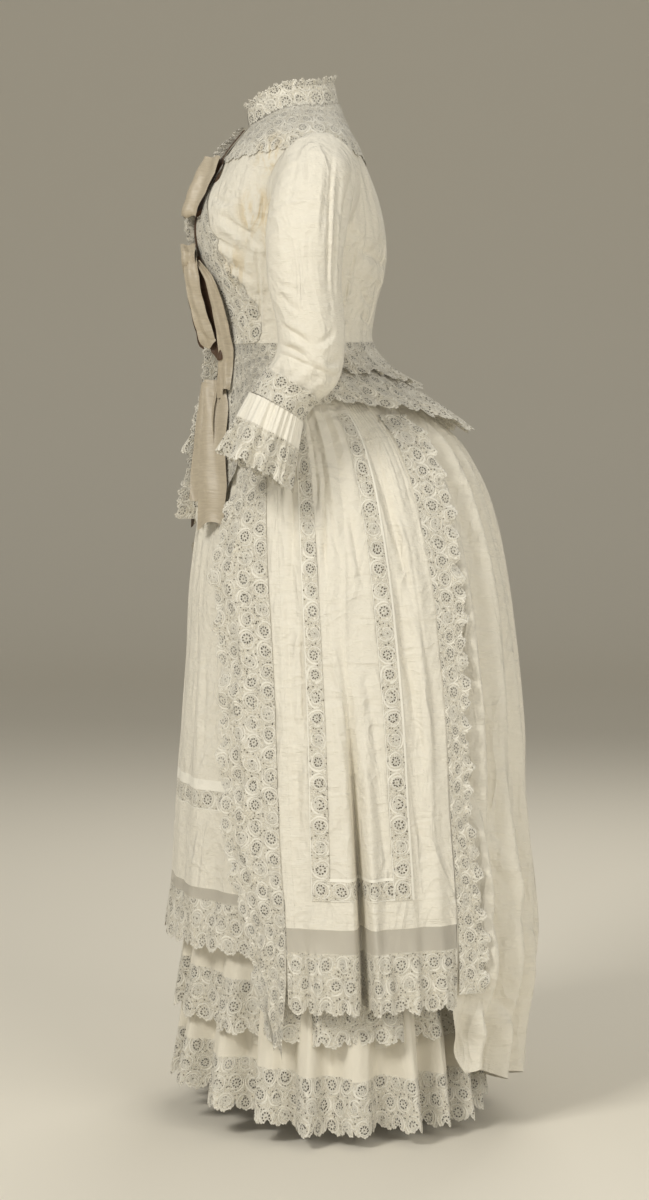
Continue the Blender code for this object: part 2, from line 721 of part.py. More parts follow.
def make_back_edging(side, material):
    """An eyelet flounce sewn to the side panel's back edge, lying back over the drape."""

    def flounce(share, height):
        free = along(back_edging_edges, "free", height) + 0.7 * np.sin(height * 55 + side)
        angle = side_panel_back_edge + (free - side_panel_back_edge) * share
        wave = np.sin(height * 50 + side) + 0.4 * np.sin(height * 83)
        lift = lay_on + cloth + share * (0.0150 + 0.0020 * wave)
        out = outward(lambda a, h: level_ring(overskirt_rings, a, h), side * angle, height)
        out[..., 2] = 0
        return level_ring(overskirt_rings, side * angle, height) + out * lift[..., None]

    heights = [height for height in edging_heights if height >= 0.175]
    name = "back_edging_" + side_name(side)
    cloth_wall(name, flounce, even(0.03, 1, 2), heights, material, facing=side)


def make_back_drape(material):
    def drape(u, height):
        edge = side_panel_back_edge + 0.04 + 70 * np.clip(0.155 - height, 0, 1)
        moved = overskirt(edge + (360 - 2 * edge) * u, height)
        low = ease(-height, -0.12, -0.04)
        moved[..., 2] += low * (0.012 * np.sin(u * 11) + 0.006 * np.sin(u * 29))
        return moved

    rows = (0.04, 0.10, 0.155, 0.268, 0.335, 0.45, *overskirt_heights[::-1])
    rows = (*rows, waistband_bottom - seam_gap)
    columns = even(0, 1, drape_fold_count * 3)
    cloth_wall("back_drape", drape, columns, rows, material)


for leftover in list(bpy.data.objects):
    bpy.data.objects.remove(leftover, do_unlink=True)
dress = bpy.data.collections.new("walking_dress")
bpy.context.scene.collection.children.link(dress)
cotton = make_material("cotton_lawn", (0.74, 0.70, 0.60), 0.85)
eyelet = make_material("eyelet_embroidery", (0.70, 0.65, 0.54), 0.9)
satin = make_material("satin_ribbon", (0.68, 0.60, 0.47), 0.45)

for hand in (1, -1):
    make_bodice(hand, cotton)
    make_peplum(hand, eyelet)
    make_yoke(hand, eyelet)
    make_sleeve(hand, cotton, eyelet)
    make_front_edging(hand, eyelet)
    make_side_panel(hand, cotton, eyelet)
    make_cascade(hand, eyelet)
    make_back_edging(hand, eyelet)
make_collar(eyelet)
make_bows(satin)
make_waistband(cotton)
make_underskirt(cotton)
make_flounce("lower_flounce", lower_flounce_hang, flute_count, 4, (0.02, 0.08, 0.15, 0.225), 0.008, eyelet)
make_flounce("upper_flounce", upper_flounce_hang, flounce_wave_count, 3, (0.125, 0.225, 0.36), 0.008, eyelet)
make_apron(cotton, eyelet)
make_back_drape(cotton)
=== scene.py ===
import math

import bmesh
import bpy
import numpy as np
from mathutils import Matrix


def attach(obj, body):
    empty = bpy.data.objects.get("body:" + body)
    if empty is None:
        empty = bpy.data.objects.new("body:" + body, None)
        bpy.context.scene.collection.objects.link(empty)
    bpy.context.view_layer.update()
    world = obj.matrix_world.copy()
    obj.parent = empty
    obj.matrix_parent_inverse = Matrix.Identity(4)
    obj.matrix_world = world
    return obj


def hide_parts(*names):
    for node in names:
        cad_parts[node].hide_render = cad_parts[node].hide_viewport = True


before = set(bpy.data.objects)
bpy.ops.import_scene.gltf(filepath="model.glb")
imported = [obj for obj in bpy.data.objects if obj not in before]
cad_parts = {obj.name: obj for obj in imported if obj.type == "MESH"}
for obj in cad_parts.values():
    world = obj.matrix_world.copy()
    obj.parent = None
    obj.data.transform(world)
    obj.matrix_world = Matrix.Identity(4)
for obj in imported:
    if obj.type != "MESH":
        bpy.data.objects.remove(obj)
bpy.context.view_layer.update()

# The whole dress: heights are above the floor, in metres, and angles run round the body,
# 0 at the centre front, 90 at the wearer's left and 180 at the centre back
dress = {
    "shoulderHeight": 1.36,
    "waistbandBottom": 1.024,
    "waistbandTop": 1.046,
    "laidOn": 0.0011,
    "bandLift": 0.0014,
    "yokeLift": 0.0019,
    "bodiceCreases": 1.9,
    "sleeveCreases": 1.25,
    "bodiceSwell": 0.0007,
    "sleeveSwell": 0.0006,
}


def table(columns, *rows):
    names = columns.split()
    return {name: np.array([row[i] for row in rows], float) for i, name in enumerate(names)}


def along(rows, column, at):
    # a smooth curve through one column, read at values of the first column
    keys = next(iter(rows.values()))
    values = rows[column]
    if keys[0] > keys[-1]:
        keys, values = keys[::-1], values[::-1]
    slopes = np.gradient(values, keys)
    at = np.clip(at, keys[0], keys[-1])
    i = np.clip(np.searchsorted(keys, at) - 1, 0, len(keys) - 2)
    step = keys[i + 1] - keys[i]
    t = (at - keys[i]) / step
    rise = values[i + 1] - values[i]
    start, end = slopes[i] * step, slopes[i + 1] * step
    return values[i] + t * (start + t * (3 * rise - 2 * start - end + t * (start + end - 2 * rise)))


def ease(value, low, high):
    t = np.clip((value - low) / (high - low), 0, 1)
    return t * t * (3 - 2 * t)


def ringPoints(angle, front, side, back, halfWidth, height):
    turn = np.radians(angle)
    deep = np.where(np.cos(turn) > 0, front - side, side - back)
    return np.stack([halfWidth * np.sin(turn), side + deep * np.cos(turn), height + 0 * turn], -1)


def roundHeight(angle, frontZ, sideZ, backZ, tab):
    turned = np.abs((angle + 180) % 360 - 180)
    square = np.cos(np.radians(turned)) ** 2
    tabbed = 1 - ease(turned, 26, 60)
    front = sideZ + (frontZ - sideZ) * (square + (tabbed - square) * tab)
    back = sideZ + (backZ - sideZ) * square
    return np.where(turned < 90, front, back)


def tiltedRing(rings, angle, at, tab):
    read = {name: along(rings, name, at) for name in rings}
    height = roundHeight(angle, read["frontZ"], read["sideZ"], read["backZ"], tab)
    return ringPoints(angle, read["frontY"], read["sideY"], read["backY"], read["halfWidth"], height)


def levelRing(rings, angle, height):
    read = {name: along(rings, name, height) for name in rings}
    return ringPoints(angle, read["front"], read["side"], read["back"], read["halfWidth"], height)


def outward(surface, u, v, facing=1.0):
    stepU, stepV = 0.02, 0.0004
    across = surface(u + stepU, v) - surface(u - stepU, v)
    up = surface(u, v + stepV) - surface(u, v - stepV)
    normal = np.cross(across, up) * facing
    return normal / np.maximum(np.linalg.norm(normal, axis=-1, keepdims=True), 1e-12)


def levelOut(rings, angle, height):
    flat = outward(lambda a, h: levelRing(rings, a, h), angle, height)
    flat[..., 2] = 0
    return flat / np.linalg.norm(flat, axis=-1, keepdims=True)


def creases(x, y, rows, scale):
    # soft troughs (depth below 0) and ridges, each from one point to another, with a lip on one side
    total = np.zeros(np.broadcast(x, y).shape)
    for x0, y0, x1, y1, depth, width, bend in zip(*rows.values()):
        wide = scale((y0 + y1) / 2)
        runX, runY = (x1 - x0) * wide, y1 - y0
        length = math.hypot(runX, runY)
        t = ((x - x0) * wide * runX + (y - y0) * runY) / length**2
        bowed = bend * np.sin(math.pi * np.clip(t, 0, 1))
        off = ((x - x0) * wide * runY - (y - y0) * runX) / length - bowed
        grown = ease(t, -0.04, 0.3) * ease(1 - t, -0.04, 0.36)
        crisp = np.exp((0.25 - np.sqrt((off / width) ** 2 + 0.06)) / 0.85)
        lip = 0.45 * np.exp(-(((off - 2.2 * width) / (1.4 * width)) ** 2))
        total = total + depth * grown * (crisp - lip)
    return total


def jittered(rows, seed, share=0.12):
    # the other side's creases are alike but not the same
    draw = np.random.default_rng(seed)
    size = len(rows["depth"])
    changed = dict(rows)
    for name, much in (("angle0", 2.0), ("angle1", 2.5), ("depth", 0), ("bend", 0)):
        scaled = rows[name] * (1 + share * draw.uniform(-1, 1, size))
        changed[name] = scaled + much * draw.uniform(-1, 1, size)
    return changed


def rumpled(points, seed):
    # slow uneven swell of handled cloth
    total = 0
    for i in range(5):
        draw = np.random.default_rng(seed * 7 + i)
        wave = draw.normal(size=3) * (26 + 17 * i)
        total = total + np.sin(points @ wave + draw.uniform(0, 6.3)) / (1.3 + 0.8 * i)
    return total


# Cotton, embroidery and ribbon: sums are worked out on the sockets of nodes
def feed(socket, value):
    if isinstance(value, (int, float)):
        socket.default_value = value
    elif isinstance(value, tuple):
        socket.default_value = (*value, 1) if socket.type == "RGBA" else value
    else:
        socket.id_data.links.new(value, socket)


def addNode(tree, kind, inputs):
    node = tree.nodes.new("ShaderNode" + kind)
    for name, value in inputs.items():
        feed(node.inputs[name], value)
    return node


def calc(operation, *values):
    tree = next(value.id_data for value in values if not isinstance(value, (int, float)))
    node = tree.nodes.new("ShaderNodeMath")
    node.operation = operation
    for socket, value in zip(node.inputs, values):
        feed(socket, value)
    return node.outputs[0]


def add(first, second):
    return calc("ADD", first, second)


def less(first, second):
    return calc("SUBTRACT", first, second)


def times(first, second):
    return calc("MULTIPLY", first, second)


def larger(first, second):
    return calc("MAXIMUM", first, second)


def band(distance, width):
    # 1 on a line, fading to 0 at its width
    share = calc("DIVIDE", calc("ABSOLUTE", distance), width)
    return larger(less(1.0, share), 0.0)


def within(distance, edge, soft):
    # 1 inside the edge, 0 outside it
    ends = {"From Min": edge - soft, "From Max": edge + soft, "To Min": 1.0, "To Max": 0.0}
    node = addNode(distance.id_data, "MapRange", {"Value": distance, **ends})
    node.interpolation_type = "SMOOTHSTEP"
    return node.outputs["Result"]


def mixColours(share, first, second):
    node = share.id_data.nodes.new("ShaderNodeMix")
    node.data_type = "RGBA"
    for name, value in (("Factor", share), ("A", first), ("B", second)):
        feed(node.inputs[name], value)
    return node.outputs["Result"]


def parts(vector):
    return addNode(vector.id_data, "SeparateXYZ", {0: vector}).outputs


def turned(x, y, angle):
    sine, cosine = calc("SINE", angle), calc("COSINE", angle)
    newX = less(times(x, cosine), times(y, sine))
    return newX, add(times(x, sine), times(y, cosine))


def distanceFrom(x, y, placeX, placeY):
    offX, offY = less(x, placeX), less(y, placeY)
    squares = add(times(offX, offX), times(offY, offY))
    return calc("SQRT", squares), calc("ARCTAN2", offY, offX)


def newGroup(name, inputs, outputs):
    # inputs with no number are vectors
    group = bpy.data.node_groups.new(name, "ShaderNodeTree")
    for socketName, value in inputs.items():
        kind = "NodeSocketVector" if value is None else "NodeSocketFloat"
        socket = group.interface.new_socket(socketName, in_out="INPUT", socket_type=kind)
        if value is not None:
            socket.default_value = value
    for socketName in outputs:
        group.interface.new_socket(socketName, in_out="OUTPUT", socket_type="NodeSocketFloat")
    return group, group.nodes.new("NodeGroupInput").outputs, group.nodes.new("NodeGroupOutput").inputs


embroidery = {  # millimetres
    "scrollRadius": 9.2,
    "scrollGrowth": 1.9,
    "scrollThread": 1.5,
    "flowerPlace": 0.8,
    "petalPlace": 5.2,
    "petals": 9,
    "eyeletRadius": 1.0,
    "rimGap": 0.5,
    "rimThread": 0.9,
    "heartRadius": 2.6,
    "leafRadius": 12.6,
    "leafThread": 2.4,
    "barSpacing": 3.6,
    "barShare": 0.72,
    "closedShare": 0.44,
    "handSize": 30.0,
    "handSway": 8.0,
    "motifTurn": 1.93,
    "loopSpacing": 4.6,
    "loopDepth": 1.6,
    "smallScallop": 11.0,
    "smallDepth": 2.4,
    "cordWidth": 1.5,
    "tapeWidth": 1.3,
}


def makeEyeletGroup():
    # x runs along the edging and y in from its free edge; worked out in millimetres
    inputs = {"Repeat": 22.0, "Row": 20.0, "Scallop": 44.0, "Depth": 9.0, "Worked": 200.0, "Tape": 0.0}
    outputs = ("Thread", "Hole", "Edge", "Worked")
    group, given, result = newGroup("eyeletEmbroidery", {"UV": None, **inputs}, outputs)
    v = embroidery
    place = parts(given["UV"])
    x = times(place[0], 1000.0)
    y = times(place[1], 1000.0)
    handed = {"Scale": 1000.0 / v["handSize"], "Detail": 1.0, "Vector": given["UV"]}
    hand = addNode(group, "TexNoise", handed)
    swayed = parts(hand.outputs["Color"])
    swayX = times(less(swayed[0], 0.5), v["handSway"])
    swayY = times(less(swayed[1], 0.5), v["handSway"])
    patternX = add(x, swayX)
    patternY = add(y, swayY)
    rows = calc("DIVIDE", patternY, given["Row"])
    row = calc("FLOOR", rows)
    shift = times(calc("MODULO", row, 2.0), 0.5)
    columns = add(calc("DIVIDE", patternX, given["Repeat"]), shift)
    column = calc("FLOOR", columns)
    cellX = times(less(calc("FRACT", columns), 0.5), given["Repeat"])
    cellY = times(less(calc("FRACT", rows), 0.5), given["Row"])
    # five kinds of motif follow each other, each turned a different way
    kind = calc("MODULO", add(column, times(row, 2.0)), 5.0)
    cellX, cellY = turned(cellX, cellY, times(kind, v["motifTurn"]))
    radius, angle = distanceFrom(cellX, cellY, 0.0, 0.0)
    grown = times(angle, v["scrollGrowth"] / math.pi)
    scroll = band(less(radius, add(grown, v["scrollRadius"])), v["scrollThread"])
    flowerRadius, flowerAngle = distanceFrom(cellX, cellY, v["flowerPlace"], -v["flowerPlace"])
    part = 2 * math.pi / v["petals"]
    petalAngle = less(calc("MODULO", add(flowerAngle, 4 * math.pi), part), part / 2)
    petalX = times(flowerRadius, calc("COSINE", petalAngle))
    petalY = times(flowerRadius, calc("SINE", petalAngle))
    petal, _ = distanceFrom(petalX, petalY, v["petalPlace"], 0.0)
    petalSide = times(calc("COSINE", flowerAngle), 9.0)
    # one kind is a closed flower, one has a single side of it worked
    closed = times(calc("COMPARE", kind, 2.0, 0.5), 9.0)
    halved = times(calc("COMPARE", kind, 4.0, 0.5), larger(petalSide, 0.0))
    eyelet = add(petal, add(closed, halved))
    hole = within(eyelet, v["eyeletRadius"], 0.3)
    rim = band(less(petal, v["eyeletRadius"] + v["rimGap"]), v["rimThread"])
    leafWidth = larger(times(calc("COSINE", add(angle, 0.8)), v["leafThread"]), 0.01)
    leaf = band(less(radius, v["leafRadius"]), leafWidth)
    cellSize = {"Scale": 1000.0 / v["barSpacing"], "Vector": given["UV"]}
    bars = addNode(group, "TexVoronoi", {})
    bars.feature = "DISTANCE_TO_EDGE"
    for name, value in cellSize.items():
        feed(bars.inputs[name], value)
    bar = times(band(bars.outputs["Distance"], 0.17), v["barShare"])
    # tiny pierced dots lie between the bars
    cells = addNode(group, "TexVoronoi", cellSize)
    pierced = within(cells.outputs["Distance"], 0.24, 0.1)
    picked = parts(cells.outputs["Color"])
    pierced = times(pierced, calc("GREATER_THAN", picked[0], v["closedShare"]))
    flowerCentre = within(flowerRadius, 0.8, 0.3)
    heart = band(less(flowerRadius, v["heartRadius"]), 1.0)
    thread = larger(larger(scroll, rim), larger(leaf, bar))
    thread = larger(thread, heart)
    solidThread = larger(larger(scroll, leaf), heart)
    pierced = times(pierced, calc("LESS_THAN", solidThread, 0.3))
    hole = larger(larger(hole, flowerCentre), pierced)
    # the free edge: scallops with little loops, and a corded rim
    wave = calc("ABSOLUTE", calc("SINE", times(calc("DIVIDE", x, given["Scallop"]), math.pi)))
    cut = less(1.0, calc("POWER", wave, 0.8))

    def bumps(spacing, depth):
        wavy = calc("ABSOLUTE", calc("SINE", times(x, math.pi / spacing)))
        return times(less(1.0, wavy), depth)

    loops = add(bumps(v["loopSpacing"], v["loopDepth"]), bumps(v["smallScallop"], v["smallDepth"]))
    edged = within(times(given["Depth"], -1.0), -0.5, 0.1)
    cut = add(times(cut, given["Depth"]), times(loops, edged))
    inside = less(y, cut)
    edge = within(times(inside, -1.0), -0.05, 0.15)
    cord = times(band(less(inside, v["cordWidth"]), v["cordWidth"]), edged)
    worked = within(less(y, given["Worked"]), 0.0, 1.5)
    thread = larger(times(thread, worked), cord)
    clear = less(1.0, calc("MINIMUM", times(cord, 3.0), 1.0))
    # an insertion has a stitched tape along both sides
    half = times(given["Tape"], 0.5)
    fromMiddle = calc("ABSOLUTE", less(y, half))
    taped = within(less(half, fromMiddle), v["tapeWidth"], 0.25)
    taped = times(taped, calc("GREATER_THAN", half, 1.0))
    thread = larger(thread, times(taped, 0.85))
    clear = times(clear, less(1.0, taped))
    hole = times(times(hole, worked), clear)
    for name, value in (("Thread", thread), ("Hole", hole), ("Edge", edge), ("Worked", worked)):
        feed(result[name], value)
    return group


stains = table(
    "angle level radius strength",
    (56, 7.1, 0.034, 0.95),
    (62, 6.0, 0.034, 0.7),
    (40, 5.2, 0.034, 0.5),
    (58, 9.3, 0.034, 0.75),
    (96, 2.3, 0.044, 0.55),
    (-58, 6.6, 0.034, 0.8),
    (-44, 5.2, 0.03, 0.5),
)
rumples = {  # noise sizes count the swells in a metre
    "handledSize": 22.0,
    "crumpledSize": 34.0,
    "crumpledShare": 0.55,
    "fineSize": 75.0,
    "fineShare": 0.2,
    "slubSize": 60.0,
    "slubShare": 0.12,
    "ridgeDepth": -1.5,
    "toneSize": 3.2,
    "blotchSize": 38.0,
}


def makeWearGroup(places):
    # fine rumples, slubs and the old yellow marks of a stored dress
    outputs = ("Height", "Tone", "Stain")
    group, given, result = newGroup("wornCotton", {"Vector": None, "UV": None}, outputs)
    v = rumples

    def noise(scale, detail, source, distortion=0.0, roughness=0.5):
        sizes = {"Scale": scale, "Detail": detail, "Roughness": roughness, "Distortion": distortion}
        return addNode(group, "TexNoise", {**sizes, "Vector": source}).outputs["Fac"]

    place = given["Vector"]
    stretched = addNode(group, "Mapping", {"Scale": (1.0, 1.0, 0.35), "Vector": place}).outputs["Vector"]
    handled = noise(v["handledSize"], 3.0, stretched, 0.9, 0.45)
    ridged = calc("ABSOLUTE", less(handled, 0.5))
    fine = noise(v["fineSize"], 3.0, place, 0.4)
    slubs = addNode(group, "Mapping", {"Scale": (1.0, 14.0, 1.0), "Vector": given["UV"]})
    slub = noise(v["slubSize"], 2.0, slubs.outputs["Vector"])
    aslant = {"Rotation": (0.6, 0.9, 0.4), "Scale": (1.0, 0.45, 1.0), "Vector": place}
    turnedAway = addNode(group, "Mapping", aslant)
    crumpled = noise(v["crumpledSize"], 2.0, turnedAway.outputs["Vector"], 0.7, 0.4)
    crumpled = calc("ABSOLUTE", less(crumpled, 0.48))
    ridged = add(ridged, times(crumpled, v["crumpledShare"]))
    height = add(times(ridged, v["ridgeDepth"]), times(fine, v["fineShare"]))
    height = add(height, times(slub, v["slubShare"]))
    broad = noise(v["toneSize"], 3.0, place)
    tone = add(times(broad, 0.6), times(fine, 0.4))
    stained = 0.0
    for centre, radius, strength in places:
        away = group.nodes.new("ShaderNodeVectorMath")
        away.operation = "DISTANCE"
        feed(away.inputs[0], place)
        feed(away.inputs[1], centre)
        spot = within(away.outputs["Value"], radius * 0.7, radius * 0.6)
        stained = larger(times(spot, strength), stained)
    blotch = noise(v["blotchSize"], 4.0, stretched, 1.2, 0.6)
    blotch = within(times(blotch, -1.0), -0.52, 0.1)
    stained = times(stained, blotch)
    for name, value in (("Height", height), ("Tone", tone), ("Stain", stained)):
        feed(result[name], value)
    return group


clothColours = {
    "lawn": (0.85, 0.815, 0.722),
    "lawnDull": (0.785, 0.738, 0.628),
    "thread": (0.95, 0.92, 0.83),
    "ground": (0.69, 0.64, 0.52),
    "net": (0.77, 0.725, 0.63),
    # hole: painted shadow seen through the eyelets
    "hole": (0.155, 0.122, 0.074),
    "stain": (0.66, 0.52, 0.29),
    "ribbon": (0.56, 0.49, 0.37),
    # painted shade: the dark brown inside the ribbon loops and in the strip beside the front edging
    "paintedShadeBrown": (0.085, 0.046, 0.024),
}


def startMaterial(name):
    material = bpy.data.materials.new(name)
    material.use_nodes = True
    nodes = material.node_tree.nodes
    coords = nodes.new("ShaderNodeTexCoord")
    return material, nodes["Principled BSDF"], coords.outputs


def addGroup(tree, group, inputs):
    node = tree.nodes.new("ShaderNodeGroup")
    node.node_tree = group
    for name, value in inputs.items():
        feed(node.inputs[name], value)
    return node.outputs


def finishShader(shader, colour, look, height, distance):
    feed(shader.inputs["Base Color"], colour)
    for name, value in look.items():
        feed(shader.inputs[name], value)
    bump = addNode(shader.id_data, "Bump", {"Distance": distance, "Strength": 1.0, "Height": height})
    feed(shader.inputs["Normal"], bump.outputs["Normal"])


lawnLook = {"Roughness": 0.82, "Specular IOR Level": 0.25, "Sheen Weight": 0.15, "Sheen Roughness": 0.5}
laceLook = {"Roughness": 0.85, "Specular IOR Level": 0.2, "Sheen Weight": 0.15, "Sheen Roughness": 0.5}
satinLook = {"Roughness": 0.42, "Anisotropic": 0.4, "Sheen Weight": 0.05}
bumpDistances = {"lawn": 0.0085, "lace": 0.0011, "satin": 0.0006}


def makeLawn(wear, name="cottonLawn", hems=()):
    # hems are (axis, distance) of stitched lines: 0 from the start edge, 1 from the bottom edge
    values = {"hemWidth": 0.0011, "stitches": 1500.0, "hemTone": 0.12, "hemSink": 0.05}
    material, shader, coords = startMaterial(name)
    worn = addGroup(shader.id_data, wear, {"Vector": coords["Object"], "UV": coords["UV"]})
    place = parts(coords["UV"])
    sewn = 0.0
    for axis, distance in hems:
        line = band(less(place[axis], distance), values["hemWidth"])
        run = times(place[1 - axis], values["stitches"])
        dashes = add(times(calc("SINE", run), 0.3), 0.7)
        sewn = larger(times(line, dashes), sewn)
    colour = mixColours(worn["Tone"], clothColours["lawn"], clothColours["lawnDull"])
    colour = mixColours(worn["Stain"], colour, clothColours["stain"])
    height = worn["Height"]
    if hems:
        colour = mixColours(times(sewn, values["hemTone"]), colour, clothColours["ground"])
        height = less(height, times(sewn, values["hemSink"]))
    finishShader(shader, colour, lawnLook, height, bumpDistances["lawn"])
    return material


plainLace = {
    "worked": 400.0,
    "tape": 0.0,
    "sheer": 0.95,
    "netSheer": 0.6,
    "pierced": 0.45,
    "holeShadowShare": 1.0,
    "ground": "ground",
    "net": "net",
}
# millimetres: repeat and row of the motifs, width and depth of a scallop, and how far in it is worked
laces = {
    "eyeletEdging": {"repeat": 28, "row": 26, "scallop": 34, "depth": 9},
    "eyeletBorder": {"repeat": 28, "row": 27, "scallop": 34, "depth": 9, "worked": 82},
    "eyeletInsertion": {
        "repeat": 28,
        "row": 28,
        "scallop": 44,
        "depth": 0,
        "sheer": 1.0,
        "tape": 27,
        "pierced": 0.0,
    },
    "eyeletApron": {"repeat": 28, "row": 27, "scallop": 34, "depth": 9, "worked": 68},
    "eyeletFlounce": {
        "repeat": 28,
        "row": 26,
        "scallop": 33,
        "depth": 8,
        "worked": 74,
        "netSheer": 0.98,
        "net": "lawnDull",
    },
    "eyeletRuffle": {
        "repeat": 28,
        "row": 27,
        "scallop": 30,
        "depth": 8,
        "worked": 56,
        "netSheer": 0.98,
        "net": "lawn",
    },
    "eyeletNarrow": {"repeat": 22, "row": 21, "scallop": 15, "depth": 3.5},
    "eyeletCascade": {"repeat": 28, "row": 26, "scallop": 34, "depth": 11},
    "eyeletFrill": {"repeat": 26, "row": 24, "scallop": 17, "depth": 4},
    "eyeletYoke": {
        "repeat": 26,
        "row": 24,
        "scallop": 30,
        "depth": 6,
        "sheer": 0.96,
        "pierced": 0.15,
        "holeShadowShare": 0.45,
    },
}


def makeLace(name, wear, eyelets):
    values = {**plainLace, **laces[name]}
    material, shader, coords = startMaterial(name)
    worn = addGroup(shader.id_data, wear, {"Vector": coords["Object"], "UV": coords["UV"]})
    sized = ("repeat", "row", "scallop", "depth", "worked", "tape")
    sizes = {size.capitalize(): values[size] for size in sized}
    lace = addGroup(shader.id_data, eyelets, {"UV": coords["UV"], **sizes})
    ground = mixColours(worn["Tone"], clothColours[values["ground"]], clothColours["lawnDull"])
    ground = mixColours(lace["Worked"], clothColours[values["net"]], ground)
    colour = mixColours(lace["Thread"], ground, clothColours["thread"])
    # eyelet holes are painted dark: painted shadow in the holes, with less of it on the yoke
    colour = mixColours(times(lace["Hole"], values["holeShadowShare"]), colour, clothColours["hole"])
    stained = times(worn["Stain"], 0.7)
    colour = mixColours(stained, colour, clothColours["stain"])
    # the net above the worked part is sheerer, and threads are never see-through
    between = add(times(lace["Worked"], values["sheer"] - values["netSheer"]), values["netSheer"])
    solid = larger(between, lace["Thread"])
    closed = less(1.0, times(lace["Hole"], values["pierced"]))
    feed(shader.inputs["Alpha"], times(times(solid, closed), lace["Edge"]))
    height = less(lace["Thread"], lace["Hole"])
    height = add(height, times(worn["Height"], 1.5))
    finishShader(shader, colour, laceLook, height, bumpDistances["lace"])
    return material


def makeSatin(name, outside, inside):
    material, shader, coords = startMaterial(name)
    tree = shader.id_data
    faces = addNode(tree, "NewGeometry", {})
    threads = addNode(tree, "Mapping", {"Scale": (8.0, 60.0, 1.0), "Vector": coords["UV"]})
    noise = addNode(tree, "TexNoise", {"Vector": threads.outputs["Vector"], "Scale": 6.0})
    # back faces take the inside colour, which for the ribbons is painted shade inside the loops; noise
    # streaks mix a little of it in at random
    colour = mixColours(faces.outputs["Backfacing"], outside, inside)
    darker = mixColours(times(noise.outputs["Fac"], 0.35), colour, inside)
    finishShader(shader, darker, satinLook, noise.outputs["Fac"], bumpDistances["satin"])
    return material


# Sheets of cloth
def evenly(start, end, count):
    return np.linspace(start, end, count + 1)


def makeSheet(name, surface, columns, rows, material, facing=1.0, edge="bottom"):
    grid = bmesh.new()
    wide, high = len(columns) - 1, len(rows) - 1
    bmesh.ops.create_grid(grid, x_segments=wide, y_segments=high, size=0.5)
    grid.loops.layers.uv.new("cloth")
    mesh = bpy.data.meshes.new(name)
    grid.to_mesh(mesh)
    grid.free()
    flat = np.empty(len(mesh.vertices) * 3, np.float32)
    mesh.vertices.foreach_get("co", flat)
    flat = flat.reshape(-1, 3)
    column = np.rint((flat[:, 0] + 0.5) * wide).astype(int)
    row = np.rint((flat[:, 1] + 0.5) * high).astype(int)
    points = surface(np.asarray(columns, float)[column], np.asarray(rows, float)[row])
    placed = np.empty((high + 1, wide + 1, 3))
    placed[row, column] = points
    points = points - np.array([0, 0, dress["shoulderHeight"]])
    mesh.vertices.foreach_set("co", points.astype(np.float32).ravel())
    acrossSteps = np.linalg.norm(np.diff(placed, axis=1), axis=2)
    upSteps = np.linalg.norm(np.diff(placed, axis=0), axis=2)
    longest = acrossSteps[np.argmax(acrossSteps.sum(1))]
    x = np.concatenate([[0], np.cumsum(longest)])[column]
    y = np.concatenate([[0], np.cumsum(upSteps.mean(1))])[row]
    if edge == "end":
        x, y = y, x.max() - x
    elif edge == "start":
        x, y = y, x
    elif edge == "top":
        y = y.max() - y
    corner = np.empty(len(mesh.loops), np.int32)
    mesh.loops.foreach_get("vertex_index", corner)
    uv = np.stack([x[corner], y[corner]], -1).astype(np.float32)
    mesh.uv_layers[0].data.foreach_set("uv", uv.ravel())
    if facing < 0:
        mesh.flip_normals()
    mesh.shade_smooth()
    mesh.materials.append(material)
    piece = bpy.data.objects.new(name, mesh)
    bpy.context.scene.collection.objects.link(piece)
    return piece


def sewOn(piece, node, held, *restsOn):
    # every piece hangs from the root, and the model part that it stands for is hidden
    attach(piece, "root")
    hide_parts(node)


def sideName(side):
    return "Left" if side > 0 else "Right"


def nodeSide(side):
    return "left" if side > 0 else "right"


# Sections of the garment
torsoRings = table(
    "level frontY frontZ halfWidth sideY sideZ backY backZ",
    (0, -0.1425, 0.79, 0.16, 0.018, 0.952, 0.247, 0.914),
    (1, -0.1285, 0.868, 0.148, 0.012, 0.98, 0.192, 0.953),
    (2, -0.113, 0.955, 0.127, 0.004, 1.008, 0.136, 0.996),
    (3, -0.107, 1.036, 0.112, 0.0, 1.036, 0.1045, 1.04),
    (4, -0.112, 1.085, 0.12, 0.0, 1.085, 0.108, 1.08),
    (5, -0.127, 1.132, 0.137, 0.002, 1.13, 0.117, 1.12),
    (6, -0.138, 1.174, 0.151, 0.006, 1.17, 0.122, 1.158),
    (7, -0.139, 1.206, 0.158, 0.008, 1.204, 0.119, 1.194),
    (8, -0.13, 1.238, 0.16, 0.008, 1.24, 0.11, 1.231),
    (9, -0.114, 1.268, 0.158, 0.008, 1.278, 0.096, 1.266),
    (10, -0.096, 1.297, 0.148, 0.008, 1.312, 0.082, 1.3),
    (11, -0.08, 1.317, 0.105, 0.004, 1.337, 0.069, 1.333),
    (12, -0.066, 1.333, 0.062, 0.0, 1.356, 0.057, 1.367),
)
overskirtRings = table(
    "height front halfWidth side back",
    (1.024, -0.1035, 0.1095, 0.0, 0.1015),
    (0.985, -0.104, 0.125, 0.004, 0.118),
    (0.95, -0.1065, 0.14, 0.012, 0.166),
    (0.915, -0.1115, 0.156, 0.022, 0.21),
    (0.865, -0.1205, 0.175, 0.03, 0.243),
    (0.8, -0.1325, 0.194, 0.036, 0.268),
    (0.72, -0.143, 0.213, 0.042, 0.288),
    (0.62, -0.15, 0.229, 0.048, 0.302),
    (0.52, -0.157, 0.243, 0.054, 0.309),
    (0.42, -0.164, 0.254, 0.058, 0.311),
    (0.32, -0.17, 0.263, 0.062, 0.32),
    (0.22, -0.176, 0.27, 0.066, 0.322),
    (0.12, -0.178, 0.276, 0.068, 0.314),
    (0.02, -0.18, 0.28, 0.07, 0.308),
)
